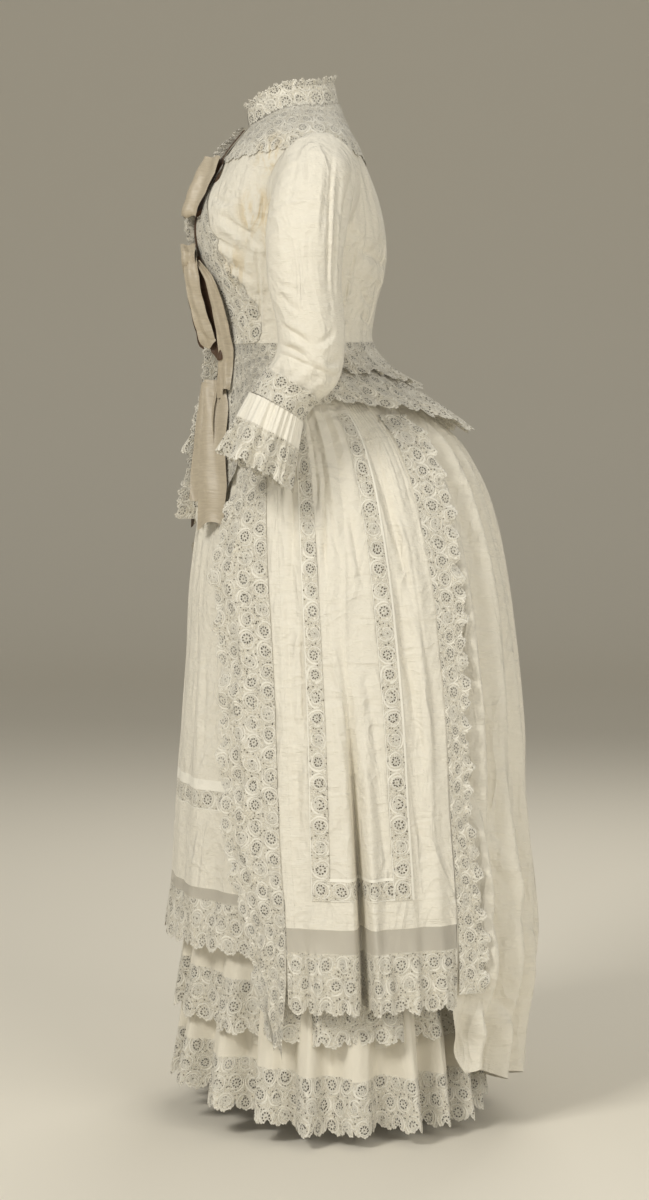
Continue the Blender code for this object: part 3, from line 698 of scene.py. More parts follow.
underskirtRings = table(
    "height front halfWidth side back",
    (1.024, -0.102, 0.108, 0.0, 0.1),
    (0.985, -0.102, 0.118, 0.004, 0.108),
    (0.95, -0.1025, 0.128, 0.012, 0.148),
    (0.915, -0.1055, 0.142, 0.02, 0.188),
    (0.865, -0.112, 0.156, 0.026, 0.22),
    (0.8, -0.121, 0.17, 0.03, 0.24),
    (0.7, -0.127, 0.187, 0.034, 0.252),
    (0.6, -0.131, 0.198, 0.036, 0.256),
    (0.45, -0.134, 0.208, 0.036, 0.252),
    (0.3, -0.136, 0.212, 0.036, 0.24),
    (0.15, -0.137, 0.218, 0.036, 0.23),
    (0.02, -0.138, 0.227, 0.036, 0.224),
)
collarRings = table(
    "rise frontY frontZ halfWidth sideY sideZ backY backZ",
    (0, -0.066, 1.3335, 0.062, 0.0, 1.3565, 0.057, 1.3675),
    (1, -0.068, 1.346, 0.061, -0.004, 1.371, 0.054, 1.383),
    (2, -0.069, 1.357, 0.06, -0.008, 1.384, 0.051, 1.3965),
)
sleeveRings = table(
    "step midX midY midZ halfDeep frontRise halfWide outerRise",
    (1, 0.178, 0.001, 1.239, 0.0585, 0.0, 0.019, 0.066),
    (2, 0.193, -0.006, 1.222, 0.056, 0.0, 0.034, 0.053),
    (3, 0.204, -0.014, 1.198, 0.054, 0.0, 0.043, 0.034),
    (4, 0.212, -0.021, 1.16, 0.052, 0.0, 0.047, 0.013),
    (5, 0.217, -0.022, 1.112, 0.048, 0.0, 0.046, 0.002),
    (6, 0.22, -0.016, 1.066, 0.045, 0.002, 0.044, 0.0),
    (7, 0.221, -0.014, 1.026, 0.044, 0.01, 0.043, 0.0),
    (8, 0.22, -0.021, 0.998, 0.04, 0.019, 0.042, 0.0),
    (9, 0.218, -0.036, 0.979, 0.034, 0.021, 0.04, 0.0),
    (10, 0.215, -0.05, 0.963, 0.032, 0.019, 0.038, 0.0),
    (11, 0.212, -0.064, 0.939, 0.031, 0.018, 0.037, 0.0),
)
armhole = {"middleLevel": 8.1, "halfLevels": 1.9, "halfAngle": 30.0}


def torso(angle, level):
    return tiltedRing(torsoRings, angle, level, ease(3 - level, 0, 1))


# Jacket bodice: creases in degrees and levels
bodiceCreases = table(
    "angle0 level0 angle1 level1 depth width bend",
    (30, 7.15, 57, 6.15, -0.003, 0.005, 0.003),
    (24, 6.25, 48, 5.55, -0.0024, 0.0045, 0.002),
    (20, 7.9, 40, 7.5, -0.0018, 0.0045, 0.002),
    (50, 8.8, 57, 7.6, -0.0016, 0.0035, 0.002),
    (57, 8.0, 60, 6.6, -0.0022, 0.0035, -0.002),
    (38, 3.1, 41, 5.7, -0.002, 0.0022, 0.002),
    (53, 3.1, 57, 6.0, -0.0018, 0.0022, 0.002),
    (46, 3.2, 49, 4.6, 0.0015, 0.004, 0.0),
    (70, 3.1, 73, 5.4, -0.0018, 0.004, 0.001),
    (84, 3.1, 82, 4.6, 0.0016, 0.004, 0.0),
    (60, 5.6, 76, 5.0, -0.002, 0.0045, 0.002),
    (64, 4.8, 80, 4.0, -0.0018, 0.0045, 0.002),
    (98, 3.1, 100, 5.6, -0.0018, 0.0036, -0.002),
    (112, 3.1, 118, 6.6, -0.0018, 0.0018, 0.004),
    (118, 9.6, 112, 6.2, -0.0022, 0.003, 0.002),
    (128, 9.4, 126, 5.0, -0.002, 0.0044, -0.004),
    (141, 9.8, 140, 6.2, 0.0018, 0.0048, 0.003),
    (150, 3.2, 154, 7.0, -0.0018, 0.0018, 0.006),
    (128, 4.6, 150, 4.1, -0.0016, 0.004, 0.002),
    (132, 3.9, 158, 3.5, -0.0016, 0.0034, 0.001),
    (166, 9.6, 164, 6.0, -0.0014, 0.005, 0.002),
    (116, 5.9, 172, 5.6, -0.0022, 0.006, 0.004),
    (120, 5.2, 170, 5.0, 0.0014, 0.006, 0.003),
    (36, 6.9, 62, 5.7, -0.0022, 0.0045, 0.003),
    (30, 5.4, 58, 4.7, -0.0018, 0.0045, 0.002),
)
sideCreases = {1: bodiceCreases, -1: jittered(bodiceCreases, 5)}


def torsoScale(level):
    return math.radians(1) * 0.148


def creasedTorso(side, angle, level, lift=0.0):
    base = torso(side * angle, level)
    normal = outward(lambda a, l: torso(side * a, l), angle, level, side)
    # level is turned into height so that both ways are in metres
    heights = along(torsoRings, "sideZ", level)
    rows = dict(sideCreases[side])
    for end in ("level0", "level1"):
        rows[end] = along(torsoRings, "sideZ", rows[end])
    out = dress["bodiceCreases"] * creases(angle, heights, rows, torsoScale)
    out = out + dress["bodiceSwell"] * rumpled(base, 3) + lift
    return base + normal * out[..., None]


def armholeFrontAngle(level):
    rise = np.clip((level - armhole["middleLevel"]) / armhole["halfLevels"], 0, 1)
    return 90 - armhole["halfAngle"] * np.sqrt(1 - rise**2)


bandReach = table(
    "level reach",
    (9.8, 0.2),
    (8.4, 0.22),
    (7.2, 0.34),
    (6.2, 0.46),
    (5.3, 0.58),
    (4.4, 0.8),
    (3.7, 0.93),
    (3.0, 0.9),
)


def makeBodice(side, plain, lace, yokeLace):
    centre = 1.2  # each front starts this many degrees beside the middle
    name = sideName(side)

    def front(u, level, lift=0.0):
        edge = armholeFrontAngle(level)
        return creasedTorso(side, centre + (edge - centre) * u, level, lift)

    def back(u, level):
        edge = 180 - armholeFrontAngle(level)
        return creasedTorso(side, edge + (180 - edge) * u, level)

    def underArm(angle, share):
        lean = np.clip((angle - 90) / armhole["halfAngle"], -1, 1)
        top = armhole["middleLevel"] - armhole["halfLevels"] * np.sqrt(1 - lean**2) - 0.01
        level = np.where(share <= 6, share, 6 + (share - 6) * (top - 6))
        return creasedTorso(side, angle, level)

    levels = evenly(3, 12, 150)
    across = evenly(0, 1, 76)
    node = nodeSide(side)
    piece = makeSheet("bodiceFront" + name, front, across, levels, plain, side)
    sewOn(piece, "bodice_front_" + node, "stretched", "skirt_waistband")
    piece = makeSheet("bodiceBack" + name, back, across, levels, plain, side)
    sewOn(piece, "bodice_back_" + node, "stretched", "skirt_waistband")
    half = armhole["halfAngle"]
    around = evenly(90 - half, 90 + half, 60)
    piece = makeSheet("bodiceSide" + name, underArm, around, evenly(3, 7, 80), plain, side)
    sewOn(piece, "bodice_side_" + node, "stretched", "skirt_waistband")

    def laid(u, level):
        # the eyelet band down the front, wider at the waist
        wide = along(bandReach, "reach", level)
        return front(u * wide, level, dress["bandLift"])

    levels = evenly(3, 9.8, 120)
    piece = makeSheet("frontBand" + name, laid, evenly(0, 1, 40), levels, lace, side, edge="end")
    sewOn(piece, "front_band_" + node, "laid", "bodiceFront" + name)

    def yoke(angle, level):
        return creasedTorso(side, angle, level, dress["yokeLift"])

    piece = makeSheet("yoke" + name, yoke, evenly(14, 180, 110), evenly(9.3, 11.97, 34), yokeLace, side)
    sewOn(piece, "yoke_" + node, "laid", "bodiceFront" + name)


def makePeplum(side, lace):
    values = {
        "start": 1.2,
        "seam": 60.0,
        "folds": 10,
        "flare": 0.003,
        "sway": 0.0016,
        "ripple": 0.0008,
        "tierReach": 1.55,
        "tierSway": 0.12,
        "tierLift": 0.0014,
        "tierStand": 0.0042,
    }
    name, node = sideName(side), nodeSide(side)

    def form(angle, level):
        base = torso(side * angle, level)
        normal = outward(lambda a, l: torso(side * a, l), angle, np.maximum(level, 0.01), side)
        back = ease(angle, values["seam"] - 1, values["seam"] + 12)
        grown = ease(3 - level, 0, 3)
        wave = 1 - np.cos(math.pi * values["folds"] * (angle - values["seam"]) / 120)
        out = values["flare"] * grown * wave * back
        out = out + values["sway"] * grown * np.sin(angle * 0.55 + 3 * level)
        out = out + values["ripple"] * grown * np.sin(angle * 1.3)
        return base + normal * out[..., None]

    def upperTier(angle, share):
        # the shorter tier laid over the peplum, standing off a little at its scalloped edge
        level = 3 - share * (values["tierReach"] + values["tierSway"] * np.sin(angle * 0.24))
        base = form(angle, level)
        normal = outward(lambda a, l: torso(side * a, l), angle, np.maximum(level, 0.01), side)
        wave = 1.2 + 0.8 * np.sin(angle * 0.62) + 0.4 * np.sin(angle * 1.41)
        lift = values["tierLift"] + values["tierStand"] * share**2 * wave
        return base + normal * lift[..., None]

    rows = evenly(0, 3, 48)
    ahead = evenly(values["start"], values["seam"], 60)
    piece = makeSheet("peplumFront" + name, form, ahead, rows, lace, side)
    sewOn(piece, "peplum_front_" + node, "hung", "bodiceFront" + name)
    piece = makeSheet("peplumBack" + name, form, evenly(values["seam"], 180, 140), rows, lace, side)
    sewOn(piece, "peplum_back_" + node, "hung", "bodiceBack" + name)
    tierColumns = evenly(values["seam"] + 1, 179.5, 130)
    piece = makeSheet("peplumTier" + name, upperTier, tierColumns, evenly(1, 0, 18), lace, side)
    sewOn(piece, "peplum_back_" + node, "hung", "bodiceBack" + name)


def makeCollar(lace, frillLace):
    values = {"frillRise": 0.01, "frillWaves": 20, "frillLean": 0.004, "frillRipple": 0.003}

    def collarBand(angle, rise):
        return tiltedRing(collarRings, angle, rise, 0.0)

    def frill(angle, share):
        flat = outward(collarBand, angle, 1.9 + 0 * share)
        wave = np.sin(np.radians(angle * values["frillWaves"]))
        ripple = share * (values["frillLean"] + values["frillRipple"] * wave)
        top = collarBand(angle, 2 + 0 * share) + flat * ripple[..., None]
        top[..., 2] += share * values["frillRise"]
        return top

    piece = makeSheet("collarBand", collarBand, evenly(3, 357, 160), evenly(0, 2, 12), lace)
    sewOn(piece, "collar_band", "stretched", "bodiceFrontLeft")
    piece = makeSheet("collarFrill", frill, evenly(3, 357, 280), evenly(0, 1, 8), frillLace, edge="top")
    sewOn(piece, "collar_frill", "gathered", "collarBand")


# Sleeves: creases in degrees round the arm and steps down it
sleeveCreases = table(
    "angle0 step0 angle1 step1 depth width bend",
    (110, 1.7, 122, 5.4, -0.0036, 0.0017, 0.002),
    (127, 2.2, 134, 5.8, -0.002, 0.0026, 0.002),
    (97, 1.6, 101, 4.3, 0.0016, 0.003, 0.001),
    (78, 1.5, 82, 3.2, -0.0012, 0.003, 0.0),
    (148, 1.6, 146, 4.6, -0.0034, 0.004, 0.002),
    (62, 1.6, 55, 3.4, -0.0014, 0.004, 0.0),
    (20, 6.4, 84, 7.1, -0.003, 0.0042, 0.003),
    (14, 7.3, 92, 7.8, -0.0038, 0.0046, 0.003),
    (22, 8.0, 84, 8.5, -0.003, 0.004, 0.002),
    (60, 8.8, 126, 8.3, -0.0024, 0.0036, 0.002),
    (30, 5.4, 70, 6.1, -0.002, 0.0044, 0.002),
    (128, 6.4, 84, 7.0, -0.002, 0.0038, 0.001),
    (150, 7.1, 108, 7.6, -0.0024, 0.0036, 0.002),
    (90, 9.0, 150, 9.4, -0.0018, 0.003, 0.001),
    (206, 3.0, 214, 6.0, -0.0016, 0.004, 0.002),
    (250, 6.6, 320, 7.3, -0.0026, 0.0042, 0.002),
    (244, 7.6, 322, 8.0, -0.0026, 0.004, 0.002),
    (286, 3.0, 280, 5.6, -0.0018, 0.004, 0.002),
)


def armholePoint(turn):
    roundIt = np.radians(turn)
    angle = 90 - armhole["halfAngle"] * np.cos(roundIt)
    level = armhole["middleLevel"] + armhole["halfLevels"] * np.sin(roundIt)
    return torso(angle, level) + np.array([0.0011, 0, 0])


def sleeve(turn, step):
    read = {name: along(sleeveRings, name, np.maximum(step, 1)) for name in sleeveRings}
    ahead, out = np.cos(np.radians(turn)), np.sin(np.radians(turn))
    ring = np.stack(
        [
            read["midX"] + read["halfWide"] * out,
            read["midY"] - read["halfDeep"] * ahead,
            read["midZ"] + read["frontRise"] * ahead + read["outerRise"] * out,
        ],
        -1,
    )
    share = np.clip(1 - step, 0, 1)[..., None]
    return ring + (armholePoint(turn) - ring) * share


def sleeveRun(step):
    # how far down the sleeve a step lies, in metres, with the bend of the elbow let out
    return -along(sleeveRings, "midZ", np.maximum(step, 1)) - 0.02 * np.clip(step - 8, 0, 3)


def sleeveScale(run):
    return math.radians(1) * 0.046


def creasedSleeve(side, turn, step):
    base = sleeve(turn, step)
    normal = outward(sleeve, turn, step, -1)
    rows = dict(sleeveCreases)
    for end in ("step0", "step1"):
        rows[end] = sleeveRun(rows[end])
    wrapped = np.where(turn < 0, turn + 360, turn)
    out = dress["sleeveCreases"] * creases(wrapped, sleeveRun(step), rows, sleeveScale)
    out = out * ease(step, 0.0, 1.0) * ease(10.0 - step, 0.0, 0.5)
    out = out + dress["sleeveSwell"] * rumpled(base, 11 + side) * ease(step, 0, 1)
    return (base + normal * out[..., None]) * np.array([side, 1, 1])


def makeSleeve(side, plain, lace, ruffleLace):
    values = {
        "frontSeam": -24,
        "backSeam": 200,
        "sleeveEnd": 9.2,
        "bandStep": 9.0,
        "bandEnd": 10.6,
        "bandStart": 270,
        "bandProud": 0.0022,
        "overlap": 0.003,
        "flutes": 9,
        "gathers": 31,
        "gatherDepth": 0.03,
        "ruffleTop": (0.213, -0.0585, 0.9485),
        "ruffleRun": (-0.002, -0.03, -0.086),
        "ruffleDeep": (0.0335, 0.011),
        "ruffleWide": (0.0395, 0.007),
        "ruffleRise": (0.019, 0.004),
    }
    name, node = sideName(side), nodeSide(side)
    mirror = np.array([side, 1, 1])

    def form(turn, step):
        return creasedSleeve(side, turn, step)

    steps = evenly(0, values["sleeveEnd"], 170)
    upper = evenly(values["frontSeam"], values["backSeam"], 96)
    under = evenly(values["backSeam"], 360 + values["frontSeam"], 48)
    piece = makeSheet("sleeveUpper" + name, form, upper, steps, plain, -side)
    sewOn(piece, "sleeve_upper_" + node, "stretched", "bodiceFront" + name)
    piece = makeSheet("sleeveUnder" + name, form, under, steps, plain, -side)
    sewOn(piece, "sleeve_under_" + node, "stretched", "bodiceSide" + name)
    turns = evenly(values["bandStart"], values["bandStart"] + 360, 96)

    def band(turn, step):
        flat = sleeve(turn, step)
        # its scalloped edge overlaps the end of the sleeve
        overlap = values["overlap"] * (1 - ease(step, values["bandStep"], values["bandStep"] + 0.5))
        proud = values["bandProud"] + overlap + 0.0007 * np.sin(np.radians(turn * 5) + 3 * step)
        return (flat + outward(sleeve, turn, step, -1) * proud[..., None]) * mirror

    steps = evenly(values["bandStep"], values["bandEnd"], 20)
    piece = makeSheet("cuffBand" + name, band, turns, steps, lace, -side)
    sewOn(piece, "cuff_band_" + node, "stretched", "sleeveUpper" + name)

    def ruffle(turn, share):
        ahead, out = np.cos(np.radians(turn)), np.sin(np.radians(turn))
        middle = np.array(values["ruffleTop"]) + share[..., None] * np.array(values["ruffleRun"])
        drift = 0.9 * np.sin(np.radians(turn * 3 + 40)) + 0.5 * np.sin(np.radians(turn * 5))
        # a few large limp folds, with narrow gathers where it is sewn to the band
        phase = np.radians(turn * values["flutes"]) + 1.4 * drift
        fold = np.tanh(1.5 * np.sin(phase)) * (1 + 0.45 * np.sin(np.radians(turn * 2 + 30)))
        narrow = np.sin(np.radians(turn * values["gathers"]) + 2 * drift)
        gathered = values["gatherDepth"] * narrow * (1 - 0.75 * share)
        flute = 1 + (0.02 + 0.135 * share) * fold + gathered + 0.018 * share * np.sin(2.6 * phase)
        sizes = ("ruffleDeep", "ruffleWide", "ruffleRise")
        deep, wide, rise = ((values[size][0] + values[size][1] * share) * flute for size in sizes)
        return mirror * (middle + np.stack([wide * out, -deep * ahead, rise * ahead], -1))

    turns = evenly(values["bandStart"], values["bandStart"] + 360, 320)
    piece = makeSheet("cuffRuffle" + name, ruffle, turns, evenly(1, 0.004, 34), ruffleLace, side)
    sewOn(piece, "cuff_ruffle_" + node, "gathered", "cuffBand" + name)


# Standing edging and ribbons down the centre front
edgingReach = table(
    "level ahead",
    (12, 0.01),
    (10.6, 0.016),
    (9, 0.017),
    (7, 0.013),
    (4, 0.014),
    (2, 0.024),
    (0, 0.026),
)


def makeFrontEdging(side, lace, shadowStripSatin):
    values = {
        "edge": 1.6,
        "lift": 0.0022,
        "shadowStripEdge": 2.2,
        "shadowStripWidth": 3.6,
        "shadowStripLift": 0.0026,
        "shadowStripRound": 0.0015,
    }

    def form(angle, level):
        return torso(side * angle, level)

    def strip(share, level):
        edge = values["edge"] + 0 * share
        base = form(edge, level) + outward(form, edge, level, side) * values["lift"]
        ahead = share * along(edgingReach, "ahead", level) * (1 + 0.15 * np.sin(level * 5 + side))
        base[..., 1] -= ahead
        base[..., 0] = side * (0.0025 + share * (0.005 + 0.0003 * np.sin(level * 4.3)))
        base[..., 0] += side * 0.0012 * share * np.sin(level * 26)
        return base

    def fold(share, level):
        # a narrow dark brown strip beside the edging: painted shadow under the standing edging
        edge = values["shadowStripEdge"] + values["shadowStripWidth"] * share
        lift = values["shadowStripLift"] + values["shadowStripRound"] * np.sin(math.pi * share)
        return form(edge, level) + outward(form, edge, level, side) * lift[..., None]

    name = sideName(side)
    piece = makeSheet("frontFold" + name, fold, evenly(0, 1, 6), evenly(3.0, 11.6, 120), shadowStripSatin, side)
    sewOn(piece, "front_edging_" + nodeSide(side), "laid", "bodiceFront" + name)
    levels = evenly(0.1, 11.9, 260)
    piece = makeSheet("frontEdging" + name, strip, evenly(0, 1, 10), levels, lace, side, edge="end")
    sewOn(piece, "front_edging_" + nodeSide(side), "hung", "bodiceFront" + name)


# each ribbon is a strip from its outer to its inner edge, with the node that it stands for
ribbonColumns = "station outerX outerY innerX innerY height"
ribbons = {
    "ribbonTop": (
        "bow_one_loop",
        (0, 0.03, -0.109, 0.01, -0.127, 1.291),
        (1, 0.042, -0.118, 0.017, -0.142, 1.266),
        (2, 0.044, -0.13, 0.019, -0.154, 1.24),
        (3, 0.04, -0.142, 0.018, -0.162, 1.215),
        (3.5, 0.035, -0.142, 0.014, -0.161, 1.21),
        (4, 0.037, -0.133, 0.012, -0.156, 1.217),
        (5, 0.047, -0.119, 0.011, -0.146, 1.24),
        (6, 0.05, -0.111, 0.01, -0.13, 1.264),
        (7, 0.038, -0.105, 0.009, -0.118, 1.284),
    ),
    "ribbonMiddle": (
        "bow_two_loop",
        (0, 0.023, -0.141, 0.011, -0.15, 1.164),
        (1, 0.04, -0.141, 0.024, -0.159, 1.138),
        (2, 0.043, -0.137, 0.026, -0.155, 1.104),
        (3, 0.045, -0.129, 0.028, -0.147, 1.072),
        (4, 0.046, -0.12, 0.03, -0.139, 1.046),
        (4.6, 0.044, -0.117, 0.032, -0.135, 1.036),
    ),
    # the loop's back layer, whose back face shows the painted shade brown
    "ribbonLining": (
        "bow_two_loop",
        (0, 0.013, -0.148, 0.029, -0.138, 1.156),
        (1, 0.019, -0.144, 0.048, -0.122, 1.12),
        (2, 0.021, -0.133, 0.05, -0.111, 1.08),
        (3, 0.025, -0.128, 0.052, -0.106, 1.05),
        (4, 0.033, -0.124, 0.052, -0.104, 1.02),
    ),
    "ribbonTail": (
        "bow_two_tail",
        (0, 0.033, -0.137, 0.024, -0.144, 1.15),
        (1, 0.056, -0.12, 0.047, -0.133, 1.122),
        (2, 0.059, -0.108, 0.047, -0.125, 1.088),
        (3, 0.06, -0.101, 0.048, -0.119, 1.056),
        (4, 0.06, -0.096, 0.046, -0.115, 1.026),
        (5, 0.06, -0.098, 0.044, -0.115, 0.998),
        (6, 0.062, -0.101, 0.046, -0.117, 0.969),
    ),
    "ribbonKnot": (
        "bow_two_loop",
        (0, 0.016, -0.142, 0.008, -0.162, 1.172),
        (1, 0.03, -0.144, 0.02, -0.162, 1.16),
        (2, 0.03, -0.144, 0.021, -0.162, 1.146),
        (3, 0.016, -0.144, 0.008, -0.158, 1.136),
    ),
    "ribbonEnd": (
        "bow_three_end",
        (0, 0.044, -0.106, 0.024, -0.13, 0.988),
        (1, 0.058, -0.102, 0.032, -0.133, 0.95),
        (2, 0.08, -0.108, 0.048, -0.14, 0.895),
        (3, 0.098, -0.109, 0.064, -0.145, 0.845),
        (4, 0.104, -0.115, 0.07, -0.149, 0.79),
    ),
    "ribbonUnder": (
        "bow_three_end",
        (0, 0.036, -0.112, 0.018, -0.134, 0.985),
        (1, 0.048, -0.12, 0.024, -0.142, 0.94),
        (2, 0.066, -0.123, 0.036, -0.15, 0.885),
        (3, 0.082, -0.126, 0.052, -0.156, 0.83),
    ),
}


def makeRibbons(side, satin):
    values = {"pleat": 0.0019, "break": 0.0013, "crumple": 0.003, "endDip": 0.006, "rightBack": 0.006}
    for ribbonName, (nodeName, *stations) in ribbons.items():
        rows = table(ribbonColumns, *stations)
        last = rows["station"][-1]
        turnOfFold = 0.7 * len(ribbonName)

        def flat(share, station):
            read = {column: along(rows, column, station) for column in rows}
            x = read["outerX"] + share * (read["innerX"] - read["outerX"])
            y = read["outerY"] + share * (read["innerY"] - read["outerY"])
            back = values["rightBack"] if side < 0 else 0.0
            return np.stack([side * x, y + back, read["height"]], -1)

        def strip(share, station):
            # two soft pleats along the ribbon, a few breaks across it and a crumpled end
            folded = values["pleat"] * np.sin(2 * math.pi * (1.3 * share + 0.12 * station) + turnOfFold)
            broken = values["break"] * np.abs(np.sin(station * 3.1 + 2.4 * share + turnOfFold))
            ending = ease(station, last - 0.9, last)
            crumpled = values["crumple"] * ending * np.sin(5.0 * share + turnOfFold)
            moved = flat(share, station)
            moved += outward(flat, share, station, side) * (folded + broken + crumpled)[..., None]
            dip = values["endDip"] * ease(station, last - 0.6, last)
            moved[..., 2] += dip * np.sin(4.2 * share + turnOfFold)
            return moved

        name = sideName(side)
        rowsAlong = evenly(0, last, int(18 * last))
        piece = makeSheet(ribbonName + name, strip, evenly(0, 1, 16), rowsAlong, satin, side)
        sewOn(piece, nodeName + "_" + nodeSide(side), "hung", "frontEdging" + name)


# Skirt
cascadeEdges = table(
    "height join free",
    (1.024, 50, 40),
    (0.94, 52, 38),
    (0.83, 53.5, 34),
    (0.74, 55, 28),
    (0.66, 56.5, 32),
    (0.59, 57.5, 35),
    (0.5, 58.3, 36),
    (0.43, 59, 38),
    (0.35, 60, 41),
    (0.3, 61, 46),
    (0.25, 61.5, 50),
    (0.15, 62, 52),
    (0.1, 62.5, 54),
)
backEdgingEdges = table(
    "height free",
    (0.96, 130),
    (0.89, 131),
    (0.81, 128.5),
    (0.75, 127),
    (0.64, 124),
    (0.56, 122.5),
    (0.43, 121.5),
    (0.33, 122.5),
    (0.25, 124),
    (0.17, 125),
)
overskirtFolds = table(
    "fold topAngle hemAngle depth halfWidth starts full",
    (1, 7, 9, -0.0045, 4.0, 0.95, 0.5),
    (2, 19, 21, 0.0045, 4.5, 0.9, 0.5),
    (3, 31, 32, -0.006, 4.0, 0.8, 0.45),
    (4, 66, 66, -0.0035, 2.6, 0.93, 0.75),
    (5, 80, 80, 0.004, 3.6, 0.9, 0.6),
    (6, 84, 86, -0.04, 1.5, 0.68, 0.26),
    (7, 90, 89.5, 0.011, 2.2, 0.68, 0.3),
    (8, 104, 105, -0.005, 2.6, 0.97, 0.85),
    (9, 109, 110, 0.004, 2.4, 0.97, 0.85),
    (10, -10, -13, 0.0045, 4.0, 0.95, 0.5),
    (11, -24, -26, -0.0055, 4.0, 0.85, 0.45),
    (12, -36, -37, 0.004, 3.5, 0.8, 0.45),
    (13, -67, -66, -0.0035, 2.6, 0.93, 0.75),
    (14, -79, -80, 0.004, 3.6, 0.9, 0.6),
    (15, -85, -88, -0.029, 2.0, 0.62, 0.26),
    (16, -93, -94, 0.005, 3.0, 0.66, 0.3),
    (17, -105, -104, -0.005, 2.6, 0.97, 0.85),
    (18, -110, -110, 0.004, 2.4, 0.97, 0.85),
)
drapeGather = table(
    "height depth",
    (1.024, 0.0),
    (0.985, 0.003),
    (0.915, 0.007),
    (0.8, 0.01),
    (0.6, 0.011),
    (0.3, 0.015),
    (0.12, 0.021),
    (0.04, 0.024),
)
skirtCreases = table(
    "angle0 height0 angle1 height1 depth width bend",
    (79, 1.01, 80, 0.7, -0.003, 0.0046, 0.004),
    (85, 1.012, 86, 0.78, 0.0026, 0.0044, 0.003),
    (89, 1.008, 88, 0.69, -0.0026, 0.005, -0.004),
    (93, 1.012, 93, 0.84, 0.002, 0.0032, 0.0),
    (80, 0.74, 79, 0.42, -0.003, 0.006, 0.003),
    (90, 0.64, 93, 0.4, -0.0024, 0.006, -0.004),
    (79.5, 0.48, 82, 0.32, -0.0022, 0.0046, 0.002),
    (67, 1.0, 66, 0.72, -0.0026, 0.004, 0.003),
    (62, 1.0, 64, 0.8, 0.002, 0.0036, 0.0),
    (63, 0.76, 65, 0.44, -0.003, 0.0048, 0.004),
    (68, 0.56, 66, 0.33, 0.0022, 0.005, -0.003),
    (107, 0.86, 111, 0.6, -0.003, 0.0046, 0.004),
    (104.5, 0.76, 107, 0.48, -0.0026, 0.005, 0.002),
    (112, 0.64, 110, 0.38, -0.0026, 0.006, -0.004),
    (104, 0.395, 112, 0.378, -0.0014, 0.0034, 0.002),
    (98, 0.38, 92, 0.33, -0.0018, 0.004, 0.002),
    (3, 1.0, 4, 0.66, -0.0048, 0.005, 0.003),
    (14, 1.0, 15, 0.56, 0.0044, 0.0056, 0.002),
    (26, 1.0, 27, 0.7, -0.0048, 0.0046, -0.003),
    (39, 0.99, 40, 0.62, 0.004, 0.005, 0.002),
    (10, 0.7, 12, 0.47, -0.004, 0.0046, 0.002),
    (22, 0.64, 24, 0.46, -0.0044, 0.0046, 0.002),
    (124, 0.9, 130, 0.48, -0.008, 0.008, 0.01),
    (134, 0.84, 140, 0.3, -0.0085, 0.009, 0.012),
    (146, 0.78, 150, 0.24, 0.007, 0.009, -0.008),
    (158, 0.9, 160, 0.36, -0.008, 0.008, 0.006),
    (170, 0.82, 172, 0.26, -0.0075, 0.009, 0.006),
    (128, 0.42, 140, 0.14, -0.01, 0.008, 0.01),
    (136, 0.96, 133, 0.78, -0.003, 0.004, 0.002),
    (150, 0.97, 148, 0.74, -0.0032, 0.0046, 0.002),
    (164, 0.975, 165, 0.78, 0.003, 0.0046, 0.002),
    (60, 0.985, 59.5, 0.83, -0.0022, 0.0026, 0.002),
    (65, 0.93, 63, 0.62, -0.002, 0.0034, -0.004),
    (82, 0.9, 88, 0.7, -0.0018, 0.0034, 0.006),
    (90, 0.8, 85, 0.56, 0.002, 0.0044, 0.006),
    (80, 0.6, 84, 0.47, -0.0018, 0.0034, 0.003),
    (88, 0.52, 94, 0.35, -0.0022, 0.0044, -0.005),
    (81, 0.4, 85, 0.25, 0.0024, 0.005, 0.003),
    (104, 0.95, 106.5, 0.76, -0.0026, 0.0028, 0.003),
    (106, 0.9, 110, 0.66, -0.003, 0.0034, 0.005),
    (108, 0.96, 112, 0.72, -0.0024, 0.0026, 0.004),
    (110.5, 0.8, 113, 0.52, -0.0026, 0.0036, 0.004),
    (103.5, 0.64, 108, 0.44, -0.0024, 0.0036, -0.004),
    (104, 0.42, 108, 0.33, -0.0018, 0.003, -0.003),
    (82, 0.86, 79, 0.72, -0.0052, 0.003, 0.001),
    (91.5, 0.815, 93.5, 0.7, -0.0034, 0.003, 0.001),
    (68.5, 0.7, 68.0, 0.48, -0.0046, 0.0036, 0.001),
    (6, 0.98, 8, 0.8, -0.0028, 0.003, 0.002),
    (18, 0.96, 17, 0.74, -0.0026, 0.0032, -0.002),
    (33, 0.88, 35, 0.56, -0.0062, 0.0034, 0.003),
    (44, 0.96, 45, 0.64, 0.0026, 0.0044, 0.002),
    (30, 0.4, 44, 0.34, -0.0022, 0.0034, 0.003),
    (8, 0.39, 26, 0.33, -0.002, 0.0034, -0.003),
    (125, 0.33, 148, 0.08, -0.012, 0.009, 0.016),
    (132, 0.42, 160, 0.19, 0.006, 0.011, 0.014),
    (122, 0.24, 136, 0.045, -0.011, 0.008, 0.008),
    (150, 0.36, 168, 0.09, -0.0065, 0.011, 0.012),
    (121, 0.6, 134, 0.33, -0.008, 0.007, 0.012),
    (126, 0.7, 131, 0.52, 0.0034, 0.007, 0.006),
    (142, 0.56, 152, 0.3, -0.005, 0.01, 0.012),
    (166, 0.5, 174, 0.18, -0.006, 0.011, 0.008),
    (138, 0.96, 141, 0.7, -0.003, 0.0036, 0.003),
    (156, 0.965, 154, 0.7, -0.0034, 0.004, 0.003),
    (172, 0.97, 173, 0.76, -0.003, 0.004, 0.002),
)


def skirtScale(height):
    return math.radians(1) * float(along(overskirtRings, "halfWidth", height))


